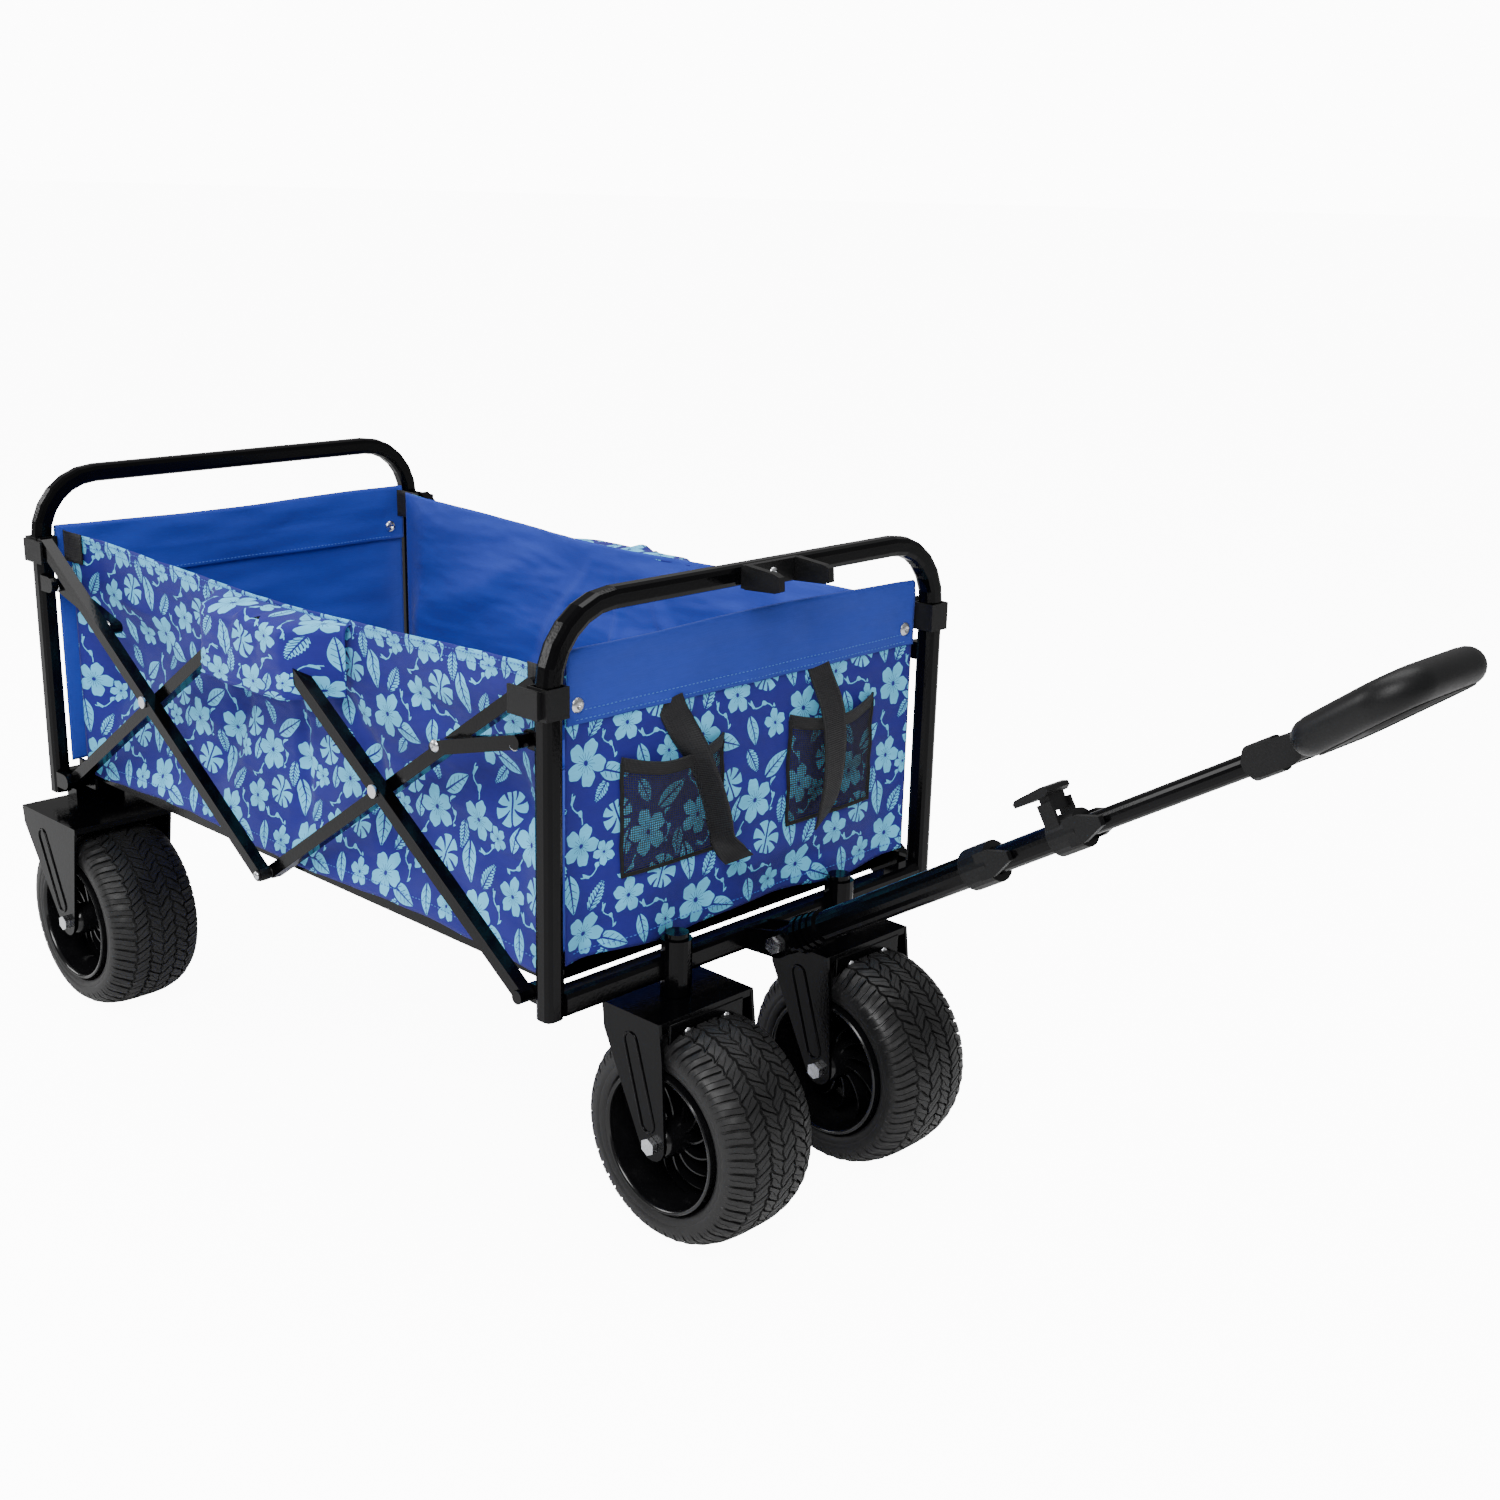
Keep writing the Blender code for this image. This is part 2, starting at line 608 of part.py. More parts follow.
for side, s in SIDES:
    # Front caster: stem, fork, bolt and wheel
    y = s * CASTER_Y
    axle_x = STEM_X + TRAIL
    outline = arc((axle_x, TYRE_R), 0.014, -160, 10, 7)
    outline += [(STEM_X + 0.040, 0.170), (STEM_X + 0.036, PLATE_Z1), (STEM_X - 0.030, PLATE_Z1)]
    outline += [(STEM_X - 0.028, 0.180)]
    swivel = fork("caster_fork_" + side, "caster_" + side, outline, y)
    combine(swivel, "UNION", [rod(0.0060, (STEM_X, y, 0.198), (STEM_X, y, 0.2535), 20)])
    combine(swivel, "UNION", [rod(0.0100, (STEM_X, y, 0.2513), (STEM_X, y, 0.2560), 20)])
    combine(swivel, "DIFFERENCE", [rod(0.0043, (axle_x, y - 0.07, TYRE_R), (axle_x, y + 0.07, TYRE_R))])
    wheel("front", side, s, "front_wheel_" + side)

    # Rear fork, fixed under the crossbar and the post
    y = s * REAR_WHEEL_Y
    outline = arc((REAR_AXLE_X, TYRE_R), 0.014, 190, 350, 7)
    outline += [(REAR_AXLE_X + 0.030, PLATE_Z1), (-HALF_L - 0.016, PLATE_Z1), (-HALF_L - 0.014, 0.184)]
    rear_fork = fork("rear_fork_" + side, "rear", outline, y)
    block = box((-HALF_L - 0.010, -HALF_L + 0.010), (s * 0.160, s * 0.2138), (0.2000, 0.2142))
    combine(rear_fork, "UNION", [block])
    combine(
        rear_fork,
        "DIFFERENCE",
        [rod(0.0043, (REAR_AXLE_X, y - 0.07, TYRE_R), (REAR_AXLE_X, y + 0.07, TYRE_R))],
    )
    wheel("rear", side, s, "rear_wheel_" + side)

    for end, x, y, in_body in (
        ("front", axle_x, s * CASTER_Y, "caster_" + side),
        ("rear", REAR_AXLE_X, s * REAR_WHEEL_Y, "rear"),
    ):
        shaft = rod(AXLE, (x, y - 0.056, TYRE_R), (x, y + 0.056, TYRE_R))
        axle = solid("_".join((end, "axle", side)), shaft, "steel", in_body)
        heads = [
            rod(0.0075, (x, y + t * (ARM_OUT + GAP), TYRE_R), (x, y + t * 0.0595, TYRE_R), 6)
            for t in (-1, 1)
        ]
        combine(axle, "UNION", heads)


def tube_between(name, finish, in_body, start, end, outer, inner, origin):
    """A tube along the handle; distances are from the handle's pivot."""
    at = -origin
    obj = solid(name, rod(outer, (start + at, 0, 0), (end + at, 0, 0), 20), finish, in_body, local=True)
    if inner:
        bore = rod(inner, (start + at - 0.01, 0, 0), (end + at + 0.01, 0, 0), 20)
        combine(obj, "DIFFERENCE", [bore], True)
    return obj


# Pull handle: hinged eye and three sliding tubes
lower = solid("handle_lower_tube", rod(0.0125, (0, 0, 0), (LOWER_END, 0, 0), 20), "paint", "pull", True)
combine(lower, "UNION", [rod(0.0118, (0, -0.0122, 0), (0, 0.0122, 0), 20)], True)
for k in range(4):
    at = 0.0185 + 0.0075 * k
    combine(lower, "UNION", [rod(0.0165 - 0.0006 * k, (at, 0, 0), (at + 0.005, 0, 0), 20)], True)
combine(
    lower,
    "DIFFERENCE",
    [rod(0.0109, (0.052, 0, 0), (0.31, 0, 0), 20), rod(AXLE_BORE, (0, -0.03, 0), (0, 0.03, 0))],
    True,
)
combine(lower, "DIFFERENCE", [rod(0.0030, (0.070, 0, 0), (0.070, 0, -0.03), 12)], True)
tube_between("handle_middle_tube", "paint", "pull_middle", *MIDDLE, 0.0105, 0.0083, MIDDLE[1])
tube_between("handle_upper_tube", "paint", "pull_upper", *UPPER, 0.0080, None, UPPER[1])


def collar(name, in_body, start, end, outer, tube_r, mouth_r, tube_end, origin):
    """A moulded collar with two tapered prongs that flank the next tube."""
    at = -origin
    obj = solid(name, rod(outer, (start + at, 0, 0), (end + at, 0, 0), 20), "plastic", in_body, True)
    tip = end + at + PRONG
    outline = [(end + at - 0.008, -0.0105), (end + at + 0.004, -0.0105), (tip, -0.0035), (tip, 0.0035)]
    outline += [(end + at + 0.004, 0.0105), (end + at - 0.008, 0.0105)]
    for side, s in SIDES:
        combine(obj, "UNION", [prism(outline, s * (mouth_r + 0.0006), s * (outer - 0.0004))], True)
    combine(obj, "DIFFERENCE", [rod(tube_r, (start + at - 0.01, 0, 0), (tube_end + at, 0, 0), 20)], True)
    combine(obj, "DIFFERENCE", [rod(mouth_r, (start + at - 0.01, 0, 0), (end + at + 0.01, 0, 0), 20)], True)
    return obj


collar("lower_collar", "pull", 0.217, 0.243, 0.0165, 0.0128, 0.0108, 0.2306, 0.0)
upper_collar = collar(
    "upper_collar", "pull_middle", 0.305, 0.331, 0.0150, 0.0108, 0.0083, 0.3176, MIDDLE[1]
)
lever_pin = LEVER_AT[0] - MIDDLE[1]
for side, s in SIDES:
    cheek = box((lever_pin - 0.0065, lever_pin + 0.0065), (s * 0.0102, s * 0.0132), (0.0060, 0.0262))
    combine(upper_collar, "UNION", [cheek], True)
combine(
    upper_collar,
    "UNION",
    [rod(0.0020, (lever_pin, -0.0120, LEVER_AT[1]), (lever_pin, 0.0120, LEVER_AT[1]), 12)],
    True,
)
lever = solid(
    "release_lever",
    prism([(-0.0040, -0.0030), (-0.0058, 0.0100), (0.0044, 0.0100), (0.0040, -0.0030)], -0.0096, 0.0096),
    "plastic",
    "lever",
    True,
)
plate = [(-0.0250, 0.0088), (-0.0260, 0.0120), (-0.0230, 0.0145), (0.0030, 0.0165), (0.0080, 0.0150)]
plate += [(0.0085, 0.0118), (0.0050, 0.0092)]
combine(lever, "UNION", [prism(plate, -0.0140, 0.0140)], True)
combine(lever, "DIFFERENCE", [rod(0.0021, (0, -0.02, 0), (0, 0.02, 0), 12)], True)

yoke_at = -UPPER[1]
sleeve = rod(0.0125, (0.478 + yoke_at, 0, 0), (0.501 + yoke_at, 0, 0), 20)
yoke = solid("grip_yoke", sleeve, "plastic", "pull_upper", True)
grip_x = GRIP_AT + yoke_at
for side, s in SIDES:
    prong = prism(slot_outline((-0.010, 0.0), (grip_x, 0.0), 0.0105), s * 0.0100, s * 0.0140)
    combine(yoke, "UNION", [prong], True)
combine(yoke, "UNION", [rod(PIN, (grip_x, -0.012, 0), (grip_x, 0.012, 0))], True)
bore = rod(0.0083, (0.46 + yoke_at, 0, 0), (UPPER[1] + GAP + yoke_at, 0, 0), 20)
combine(yoke, "DIFFERENCE", [bore], True)


def grip_path():
    """A rounded loop that widens towards the hand bar."""
    path = []
    for centre, radius, start, end in (
        ((0.046, -0.024), 0.018, 180, 255), ((0.088, -0.030), 0.022, 265, 360),
        ((0.088, 0.030), 0.022, 0, 95), ((0.046, 0.024), 0.018, 105, 180),
    ):
        path += [Vector((x, y, 0)) for x, y in arc(centre, radius, start, end, 5)]
    return path


loop = sweep(grip_path(), (0, 0, 1), ring_profile(0.0125, 12), closed=True)
grip = solid("grip", loop, "plastic", "grip", True)
combine(grip, "UNION", [prism(slot_outline((0.0, 0.0), (0.026, 0.0), 0.0085), -0.0097, 0.0097)], True)
combine(grip, "DIFFERENCE", [rod(PIN_BORE, (0, -0.02, 0), (0, 0.02, 0))], True)
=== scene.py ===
# Looks of the folding beach cart: fabric, tread, rims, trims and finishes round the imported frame.
# Metres, in the frame's own coordinates: +X is the pull direction, +Y the cart's left side.

import json
import math

import bmesh
import bpy
from mathutils import Matrix, Vector, noise


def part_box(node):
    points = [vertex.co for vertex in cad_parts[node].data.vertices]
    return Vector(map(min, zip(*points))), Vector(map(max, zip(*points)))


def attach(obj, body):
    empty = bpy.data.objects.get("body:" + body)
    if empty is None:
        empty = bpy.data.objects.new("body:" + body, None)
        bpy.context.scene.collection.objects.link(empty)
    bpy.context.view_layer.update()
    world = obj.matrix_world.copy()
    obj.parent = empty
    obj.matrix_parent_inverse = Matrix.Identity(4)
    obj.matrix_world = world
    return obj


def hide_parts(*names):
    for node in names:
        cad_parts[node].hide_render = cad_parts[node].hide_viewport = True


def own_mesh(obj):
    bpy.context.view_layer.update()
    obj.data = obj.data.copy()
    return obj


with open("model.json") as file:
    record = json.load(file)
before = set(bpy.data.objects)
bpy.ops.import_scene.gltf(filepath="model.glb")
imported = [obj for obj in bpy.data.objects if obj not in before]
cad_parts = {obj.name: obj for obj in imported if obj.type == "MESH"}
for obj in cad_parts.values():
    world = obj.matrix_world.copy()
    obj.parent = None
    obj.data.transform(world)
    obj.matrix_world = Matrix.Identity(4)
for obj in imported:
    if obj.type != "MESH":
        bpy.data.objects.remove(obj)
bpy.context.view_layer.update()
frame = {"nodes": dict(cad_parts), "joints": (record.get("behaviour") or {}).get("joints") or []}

STARTUP_OBJECTS = ("Cube", "Light", "Camera")

# Places that the frame gives
MIDDLE_X = (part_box("floor_front_pad")[0].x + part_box("floor_rear_pad")[1].x) / 2
PANEL_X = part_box("front_panel")[0].x / 2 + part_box("front_panel")[1].x / 2 - MIDDLE_X
PANEL_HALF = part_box("front_panel")[1].y
SIDE_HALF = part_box("side_panel_left")[1].x - MIDDLE_X
SIDE_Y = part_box("side_panel_left")[0].y / 2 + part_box("side_panel_left")[1].y / 2
RAIL_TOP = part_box("floor_front_frame")[1].z
BAR_OUTER_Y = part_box("rear_fall_bar_left")[1].y
BAR_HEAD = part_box("rear_rise_bar_left")[1].z

# Fabric
CLOTH = 0.0009
SIDE_BOTTOM = RAIL_TOP - 0.008
SIDE_TOP = 0.477
SIDE_SAG = 0.010
PANEL_BOTTOM = 0.248
FRONT_TOP = 0.502
REAR_TOP = 0.487
BAND_DEPTH = 0.057
END_HALF = {"front": 0.2050, "rear": 0.2125}    # half widths of the end panels' cloth
ENDS = (("front", 1, FRONT_TOP), ("rear", -1, REAR_TOP))
BAND_STAND = 0.0014
BAND_ROLL = 0.0022      # radius of a band's fold over its panel's top edge
WEAVE_PITCH = 0.0011
STITCH = 0.0030
STITCH_GAP = 0.0014
STITCH_R = 0.00035
STITCH_STAND = 0.0007   # how far a row of stitches stands off the cloth's middle
SEAM_YS = [y / 1000 for y in range(-196, 197, 4)]   # places along an end panel's seams

# Print, in metres of cloth
REPEAT_U = 0.122
REPEAT_V = 0.142
CLEAR_EDGE = 0.11       # bare cloth round each motif, as a share of its half size

# Running gear
TREAD_PITCHES = 46
RIM_BLADES = 12

# Handle clip and grip loop; its corners are along and across from its hinge
CLIP_BASE = 0.0055
GRIP_R = 0.0125
GRIP_TURN = math.radians(5)
GRIP_CORNERS = ((0.046, -0.024, 0.018, 180, 255), (0.088, -0.030, 0.022, 265, 360),
                (0.088, 0.030, 0.022, 0, 95), (0.046, 0.024, 0.018, 105, 180))

# Camera, in the cart's own coordinates
CAMERA_AT = (1.4407, -1.1261, 0.8481)
CAMERA_AZIMUTH = 43.478
CAMERA_ELEVATION = 16.720
CAMERA_ROLL = 1.449
CAMERA_LENS = 46.489
CAMERA_SHIFT = (0.0050, 0.0013)

# Light, in watts and in surround brightness
KEY_POWER = 122
SIDE_POWER = 60
TOP_POWER = 66
SURROUND_LIGHT = 0.32
SURROUND_SEEN = 12.0
FLOOR_GLOW = 11.0

SIDES = (("right", -1), ("left", 1))


def show(obj):
    bpy.context.scene.collection.objects.link(obj)


def at(x, y, z):
    """A point given from the middle of the basket, in the frame's coordinates."""
    return Vector((MIDDLE_X + x, y, z))


def smooth(t):
    """0 to 1 with level ends."""
    t = min(1.0, max(0.0, t))
    return t * t * (3 - 2 * t)


def bump(t, width):
    """1 at t = 0, falling smoothly to 0 at width."""
    return smooth(1 - abs(t) / width)


# ---- node trees


class Tree:
    """Short calls for building a shader node tree."""

    def __init__(self, tree):
        self.tree = tree

    def feed(self, socket, value):
        if isinstance(value, bpy.types.NodeSocket):
            self.tree.links.new(value, socket)
        else:
            socket.default_value = value

    def node(self, kind, inputs=(), **settings):
        made = self.tree.nodes.new("ShaderNode" + kind)
        for name, value in settings.items():
            setattr(made, name, value)
        for name, value in dict(inputs).items():
            self.feed(made.inputs[name], value)
        return made

    def math(self, operation, *values):
        made = self.node("Math", enumerate(values), operation=operation)
        return made.outputs[0]

    def plus(self, first, second):
        return self.math("ADD", first, second)

    def minus(self, first, second):
        return self.math("SUBTRACT", first, second)

    def times(self, first, second):
        return self.math("MULTIPLY", first, second)

    def scale_add(self, value, scale, more):
        return self.math("MULTIPLY_ADD", value, scale, more)

    def absolute(self, value):
        return self.math("ABSOLUTE", value)

    def sine(self, value):
        return self.math("SINE", value)

    def vector(self, operation, *values):
        made = self.node("VectorMath", enumerate(values), operation=operation)
        return made.outputs[0]

    def split(self, value):
        return self.node("SeparateXYZ", {0: value}).outputs

    def mix(self, share, first, second):
        return self.node("MixRGB", {0: share, 1: first, 2: second}).outputs[0]

    def noise(self, place, scale, detail=3.0, rough=0.5):
        inputs = {"Vector": place, "Scale": scale, "Detail": detail, "Roughness": rough}
        return self.node("TexNoise", inputs).outputs[0]

    def remap(self, value, low, high, to_low, to_high):
        inputs = {0: value, 1: low, 2: high, 3: to_low, 4: to_high}
        return self.node("MapRange", inputs).outputs[0]

    def local(self):
        return self.node("TexCoord").outputs["Object"]

    def flat(self):
        """Metres of cloth, from the sheet's own map."""
        return self.node("UVMap", uv_map="flat").outputs[0]


class Finish(Tree):
    """A material with one Principled shader."""

    def __init__(self, name, color, roughness, metallic=0.0):
        self.material = bpy.data.materials.new(name)
        self.material.use_nodes = True
        super().__init__(self.material.node_tree)
        self.shader = self.tree.nodes["Principled BSDF"]
        self.material.diffuse_color = (*color, 1)
        self.set("Base Color", (*color, 1))
        self.set("Roughness", roughness)
        self.set("Metallic", metallic)

    def set(self, name, value):
        self.feed(self.shader.inputs[name], value)

    def two_tone(self, share, first, second):
        """Base colour between two colours."""
        self.set("Base Color", self.mix(share, (*first, 1), (*second, 1)))

    def relief(self, height, distance, strength=1.0, under=None):
        inputs = {"Height": height, "Distance": distance, "Strength": strength}
        if under is not None:
            inputs["Normal"] = under
        normal = self.node("Bump", inputs).outputs[0]
        self.set("Normal", normal)
        return normal


# ---- hard finishes


def gloss_black():
    """Powder-coated steel tube: fine orange peel, faint dust and rubbed patches."""
    f = Finish("gloss_black_coat", (0.0095, 0.0095, 0.011), 0.2)
    place = f.local()
    dust = f.noise(place, 9.0, 5.0, 0.65)
    rub = f.noise(place, 140.0, 4.0, 0.7)
    f.two_tone(f.remap(dust, 0.45, 0.8, 0.0, 0.5), (0.0012, 0.0012, 0.0015), (0.0034, 0.0034, 0.0040))
    gloss_map = f.remap(dust, 0.3, 0.75, 0.09, 0.18)
    f.set("Roughness", f.plus(gloss_map, f.times(rub, 0.04)))
    f.set("Specular IOR Level", 0.13)
    f.relief(f.noise(place, 420.0, 2.0), 0.00025, 0.35)
    return f.material


def moulded_black():
    """Satin moulded plastic with a fine spark-eroded grain."""
    roughness = 0.42
    f = Finish("moulded_black", (0.014, 0.014, 0.015), roughness)
    place = f.local()
    patch = f.noise(place, 18.0, 4.0, 0.6)
    f.two_tone(patch, (0.0030, 0.0030, 0.0034), (0.0075, 0.0075, 0.0080))
    f.set("Roughness", f.remap(patch, 0.3, 0.7, roughness - 0.07, roughness + 0.08))
    f.set("Specular IOR Level", 0.22)
    f.relief(f.noise(place, 900.0, 2.0, 0.6), 0.00018, 0.6)
    return f.material


def rim_gloss():
    """Polished injection-moulded rim."""
    f = Finish("rim_gloss_black", (0.008, 0.008, 0.009), 0.14)
    place = f.local()
    smear = f.noise(place, 26.0, 5.0, 0.7)
    f.set("Roughness", f.remap(smear, 0.3, 0.75, 0.09, 0.26))
    f.two_tone(f.remap(smear, 0.5, 0.8, 0.0, 0.6), (0.0035, 0.0035, 0.004), (0.009, 0.009, 0.0095))
    f.set("Specular IOR Level", 0.4)
    f.relief(f.noise(place, 60.0, 2.0), 0.0004, 0.12)
    return f.material


def tread_rubber():
    """Soft PVC tyre: matt, slightly dusty, with a fine skin."""
    f = Finish("tyre_rubber", (0.017, 0.017, 0.018), 0.5)
    place = f.local()
    bloom = f.noise(place, 14.0, 6.0, 0.65)
    skin = f.noise(place, 620.0, 3.0, 0.6)
    f.two_tone(f.remap(bloom, 0.35, 0.8, 0.0, 1.0), (0.0070, 0.0070, 0.0074), (0.0150, 0.0150, 0.0155))
    f.set("Roughness", f.remap(bloom, 0.3, 0.75, 0.40, 0.60))
    f.set("Specular IOR Level", 0.36)
    f.relief(skin, 0.00025, 0.5)
    return f.material


def bright_steel():
    """Zinc-plated bolts and rivets with turned marks."""
    f = Finish("bright_steel", (0.62, 0.63, 0.65), 0.24, 1.0)
    place = f.local()
    marks = f.noise(place, 260.0, 4.0, 0.7)
    f.two_tone(marks, (0.50, 0.51, 0.53), (0.74, 0.75, 0.77))
    f.set("Roughness", f.remap(marks, 0.3, 0.7, 0.16, 0.36))
    f.relief(marks, 0.0001, 0.3)
    return f.material


# ---- cloth finishes


def oxford(f, place):
    """Height of a plain weave, 0 to 1, and its fibre noise."""
    u, v, _ = f.split(place)
    turn = 2 * math.pi / WEAVE_PITCH
    across = f.sine(f.times(u, turn))
    along = f.sine(f.times(v, turn))
    weave = f.scale_add(f.times(across, along), 0.5, 0.5)
    slub = f.noise(f.vector("MULTIPLY", place, (60.0, 900.0, 1.0)), 1.0, 3.0, 0.6)
    return weave, slub


def cloth_shader(f, color, weave, slub):
    """Colour varied by yarn, by broad shading and by painted shade in the weave's low points, with the
    weave as relief.
    """
    broad = f.noise(f.local(), 7.0, 3.0, 0.5)
    # painted shade: colour darker in the weave's low points and lighter on its raised points
    yarn = f.scale_add(weave, 0.22, 0.84)
    yarn = f.times(yarn, f.remap(slub, 0.2, 0.8, 0.90, 1.10))
    yarn = f.times(yarn, f.remap(broad, 0.3, 0.7, 0.93, 1.06))
    scaled = f.node("VectorMath", {0: color, "Scale": yarn}, operation="SCALE").outputs[0]
    f.set("Base Color", scaled)
    f.set("Roughness", f.remap(weave, 0.0, 1.0, 0.72, 0.60))
    f.set("Sheen Weight", 0.06)
    f.set("Sheen Roughness", 0.45)
    f.set("Specular IOR Level", 0.25)
    micro = f.relief(slub, 0.00012, 0.35)
    f.relief(weave, 0.00022, 0.55, micro)
    return f.material


def plain_cloth():
    """Royal blue polyester oxford."""
    color = (0.020, 0.052, 0.390)
    f = Finish("plain_oxford", color, 0.65)
    weave, slub = oxford(f, f.flat())
    solid = f.node("RGB").outputs[0]
    solid.default_value = (*color, 1)
    return cloth_shader(f, solid, weave, slub)


def motif(name):
    """A new node group: its Tree, its outputs, and the point in the motif's own unit space."""
    tree = bpy.data.node_groups.new(name, "ShaderNodeTree")
    for label, kind in (("Point", "Vector"), ("Centre", "Vector"), ("Angle", "Float"), ("Size", "Float")):
        tree.interface.new_socket(label, in_out="INPUT", socket_type="NodeSocket" + kind)
    for label in ("Mask", "Cover"):
        tree.interface.new_socket(label, in_out="OUTPUT", socket_type="NodeSocketFloat")
    start = tree.nodes.new("NodeGroupInput").outputs
    end = tree.nodes.new("NodeGroupOutput").inputs
    t = Tree(tree)
    away = t.vector("SUBTRACT", start["Point"], start["Centre"])
    half = (REPEAT_U / 2, REPEAT_V / 2, 1.0)
    away = t.vector("WRAP", away, half, tuple(-x for x in half))
    turn = t.node("VectorRotate", {"Vector": away, "Angle": start["Angle"]}, rotation_type="Z_AXIS")
    unit = t.node("VectorMath", {0: turn.outputs[0], "Scale": start["Size"]}, operation="SCALE")
    x, y, _ = t.split(unit.outputs[0])
    return t, end, x, y


def inside(t, *tests):
    """1 where every test is above zero."""
    found = tests[0]
    for test in tests[1:]:
        found = t.math("MINIMUM", found, test)
    return t.math("GREATER_THAN", found, 0.0)


def close_motif(t, end, outline, marks=()):
    """Inks a motif inside its outline and off its marks, and clears the ground just round it."""
    t.feed(end["Mask"], inside(t, *outline, *marks))
    t.feed(end["Cover"], inside(t, *(t.plus(test, CLEAR_EDGE) for test in outline)))
    return t.tree


def polar(t, x, y):
    """Distance from the origin, and direction."""
    r = t.math("SQRT", t.plus(t.times(x, x), t.times(y, y)))
    return r, t.math("ARCTAN2", y, x)


def hibiscus_motif():
    """Five ruffled petals with three dark veins each and a dark throat."""
    t, end, x, y = motif("motif_hibiscus")
    r, angle = polar(t, x, y)
    petal = t.absolute(t.math("COSINE", t.times(angle, 2.5)))
    petal = t.math("POWER", petal, 0.42)
    ruffle = t.times(t.sine(t.times(angle, 15.0)), 0.030)
    reach = t.plus(t.scale_add(petal, 0.76, 0.22), ruffle)
    body = t.minus(reach, r)
    vein = t.absolute(t.sine(t.times(angle, 7.5)))
    vein = t.times(vein, r)
    vein_end = t.scale_add(petal, 0.30, 0.16)
    past_vein = t.minus(r, vein_end)
    off_vein = t.math("MAXIMUM", t.minus(vein, 0.070), past_vein)
    throat = t.minus(r, 0.105)
    return close_motif(t, end, [body], [off_vein, throat])


def monstera_motif():
    """Heart-shaped leaf with slits from its margin and a thin midrib."""
    t, end, x, y = motif("motif_monstera")
    r, angle = polar(t, x, y)
    back = t.minus(1.0, t.math("COSINE", angle))
    reach = t.scale_add(t.math("SQRT", t.times(back, 0.5)), 0.42, 0.52)
    body = t.minus(reach, r)
    sweep = t.scale_add(r, 0.55, t.absolute(angle))
    slit = t.absolute(t.sine(t.times(sweep, 3.4)))
    wide = t.scale_add(r, 0.26, 0.27)
    off_slit = t.minus(slit, wide)
    off_slit = t.math("MAXIMUM", off_slit, t.minus(0.24, r))
    off_rib = t.minus(t.absolute(y), 0.048)
    return close_motif(t, end, [body], [off_slit, off_rib])


def leaf_motif(name, slim, vein_pitch, vein_gap, teeth):
    """Pointed leaf with a midrib, side veins and, if teeth is set, a serrated margin."""
    t, end, x, y = motif(name)
    side = t.absolute(y)
    width = t.times(t.minus(1.0, t.times(x, x)), slim)
    width = t.times(width, t.scale_add(x, -0.28, 1.0))
    skew = t.scale_add(side, -0.9, x)
    wave = t.sine(t.times(skew, 2 * math.pi / vein_pitch))
    width = t.scale_add(wave, teeth, width)
    body = t.minus(width, side)
    rib_width = t.scale_add(x, -0.020, 0.046)
    off_rib = t.minus(side, rib_width)
    off_vein = t.minus(vein_gap, wave)
    margin = t.minus(side, t.times(width, 0.72))
    off_vein = t.math("MAXIMUM", off_vein, margin)
    tip = t.minus(1.0, t.absolute(x))
    return close_motif(t, end, [body, tip], [off_rib, off_vein])


def sprig_motif():
    """Waving stem with narrow leaves along it."""
    t, end, x, y = motif("motif_sprig")
    wave = t.times(t.sine(t.times(x, 3.6)), 0.16)
    off = t.minus(y, wave)
    leaf = t.sine(t.scale_add(x, 7.5, t.times(off, 5.0)))
    leaf = t.math("MAXIMUM", leaf, 0.0)
    width = t.scale_add(t.times(leaf, leaf), 0.12, 0.034)
    side = t.absolute(t.scale_add(leaf, -0.09, off))
    ends = t.minus(1.0, t.absolute(x))
    stem = t.minus(width, side)
    return close_motif(t, end, [stem, ends])


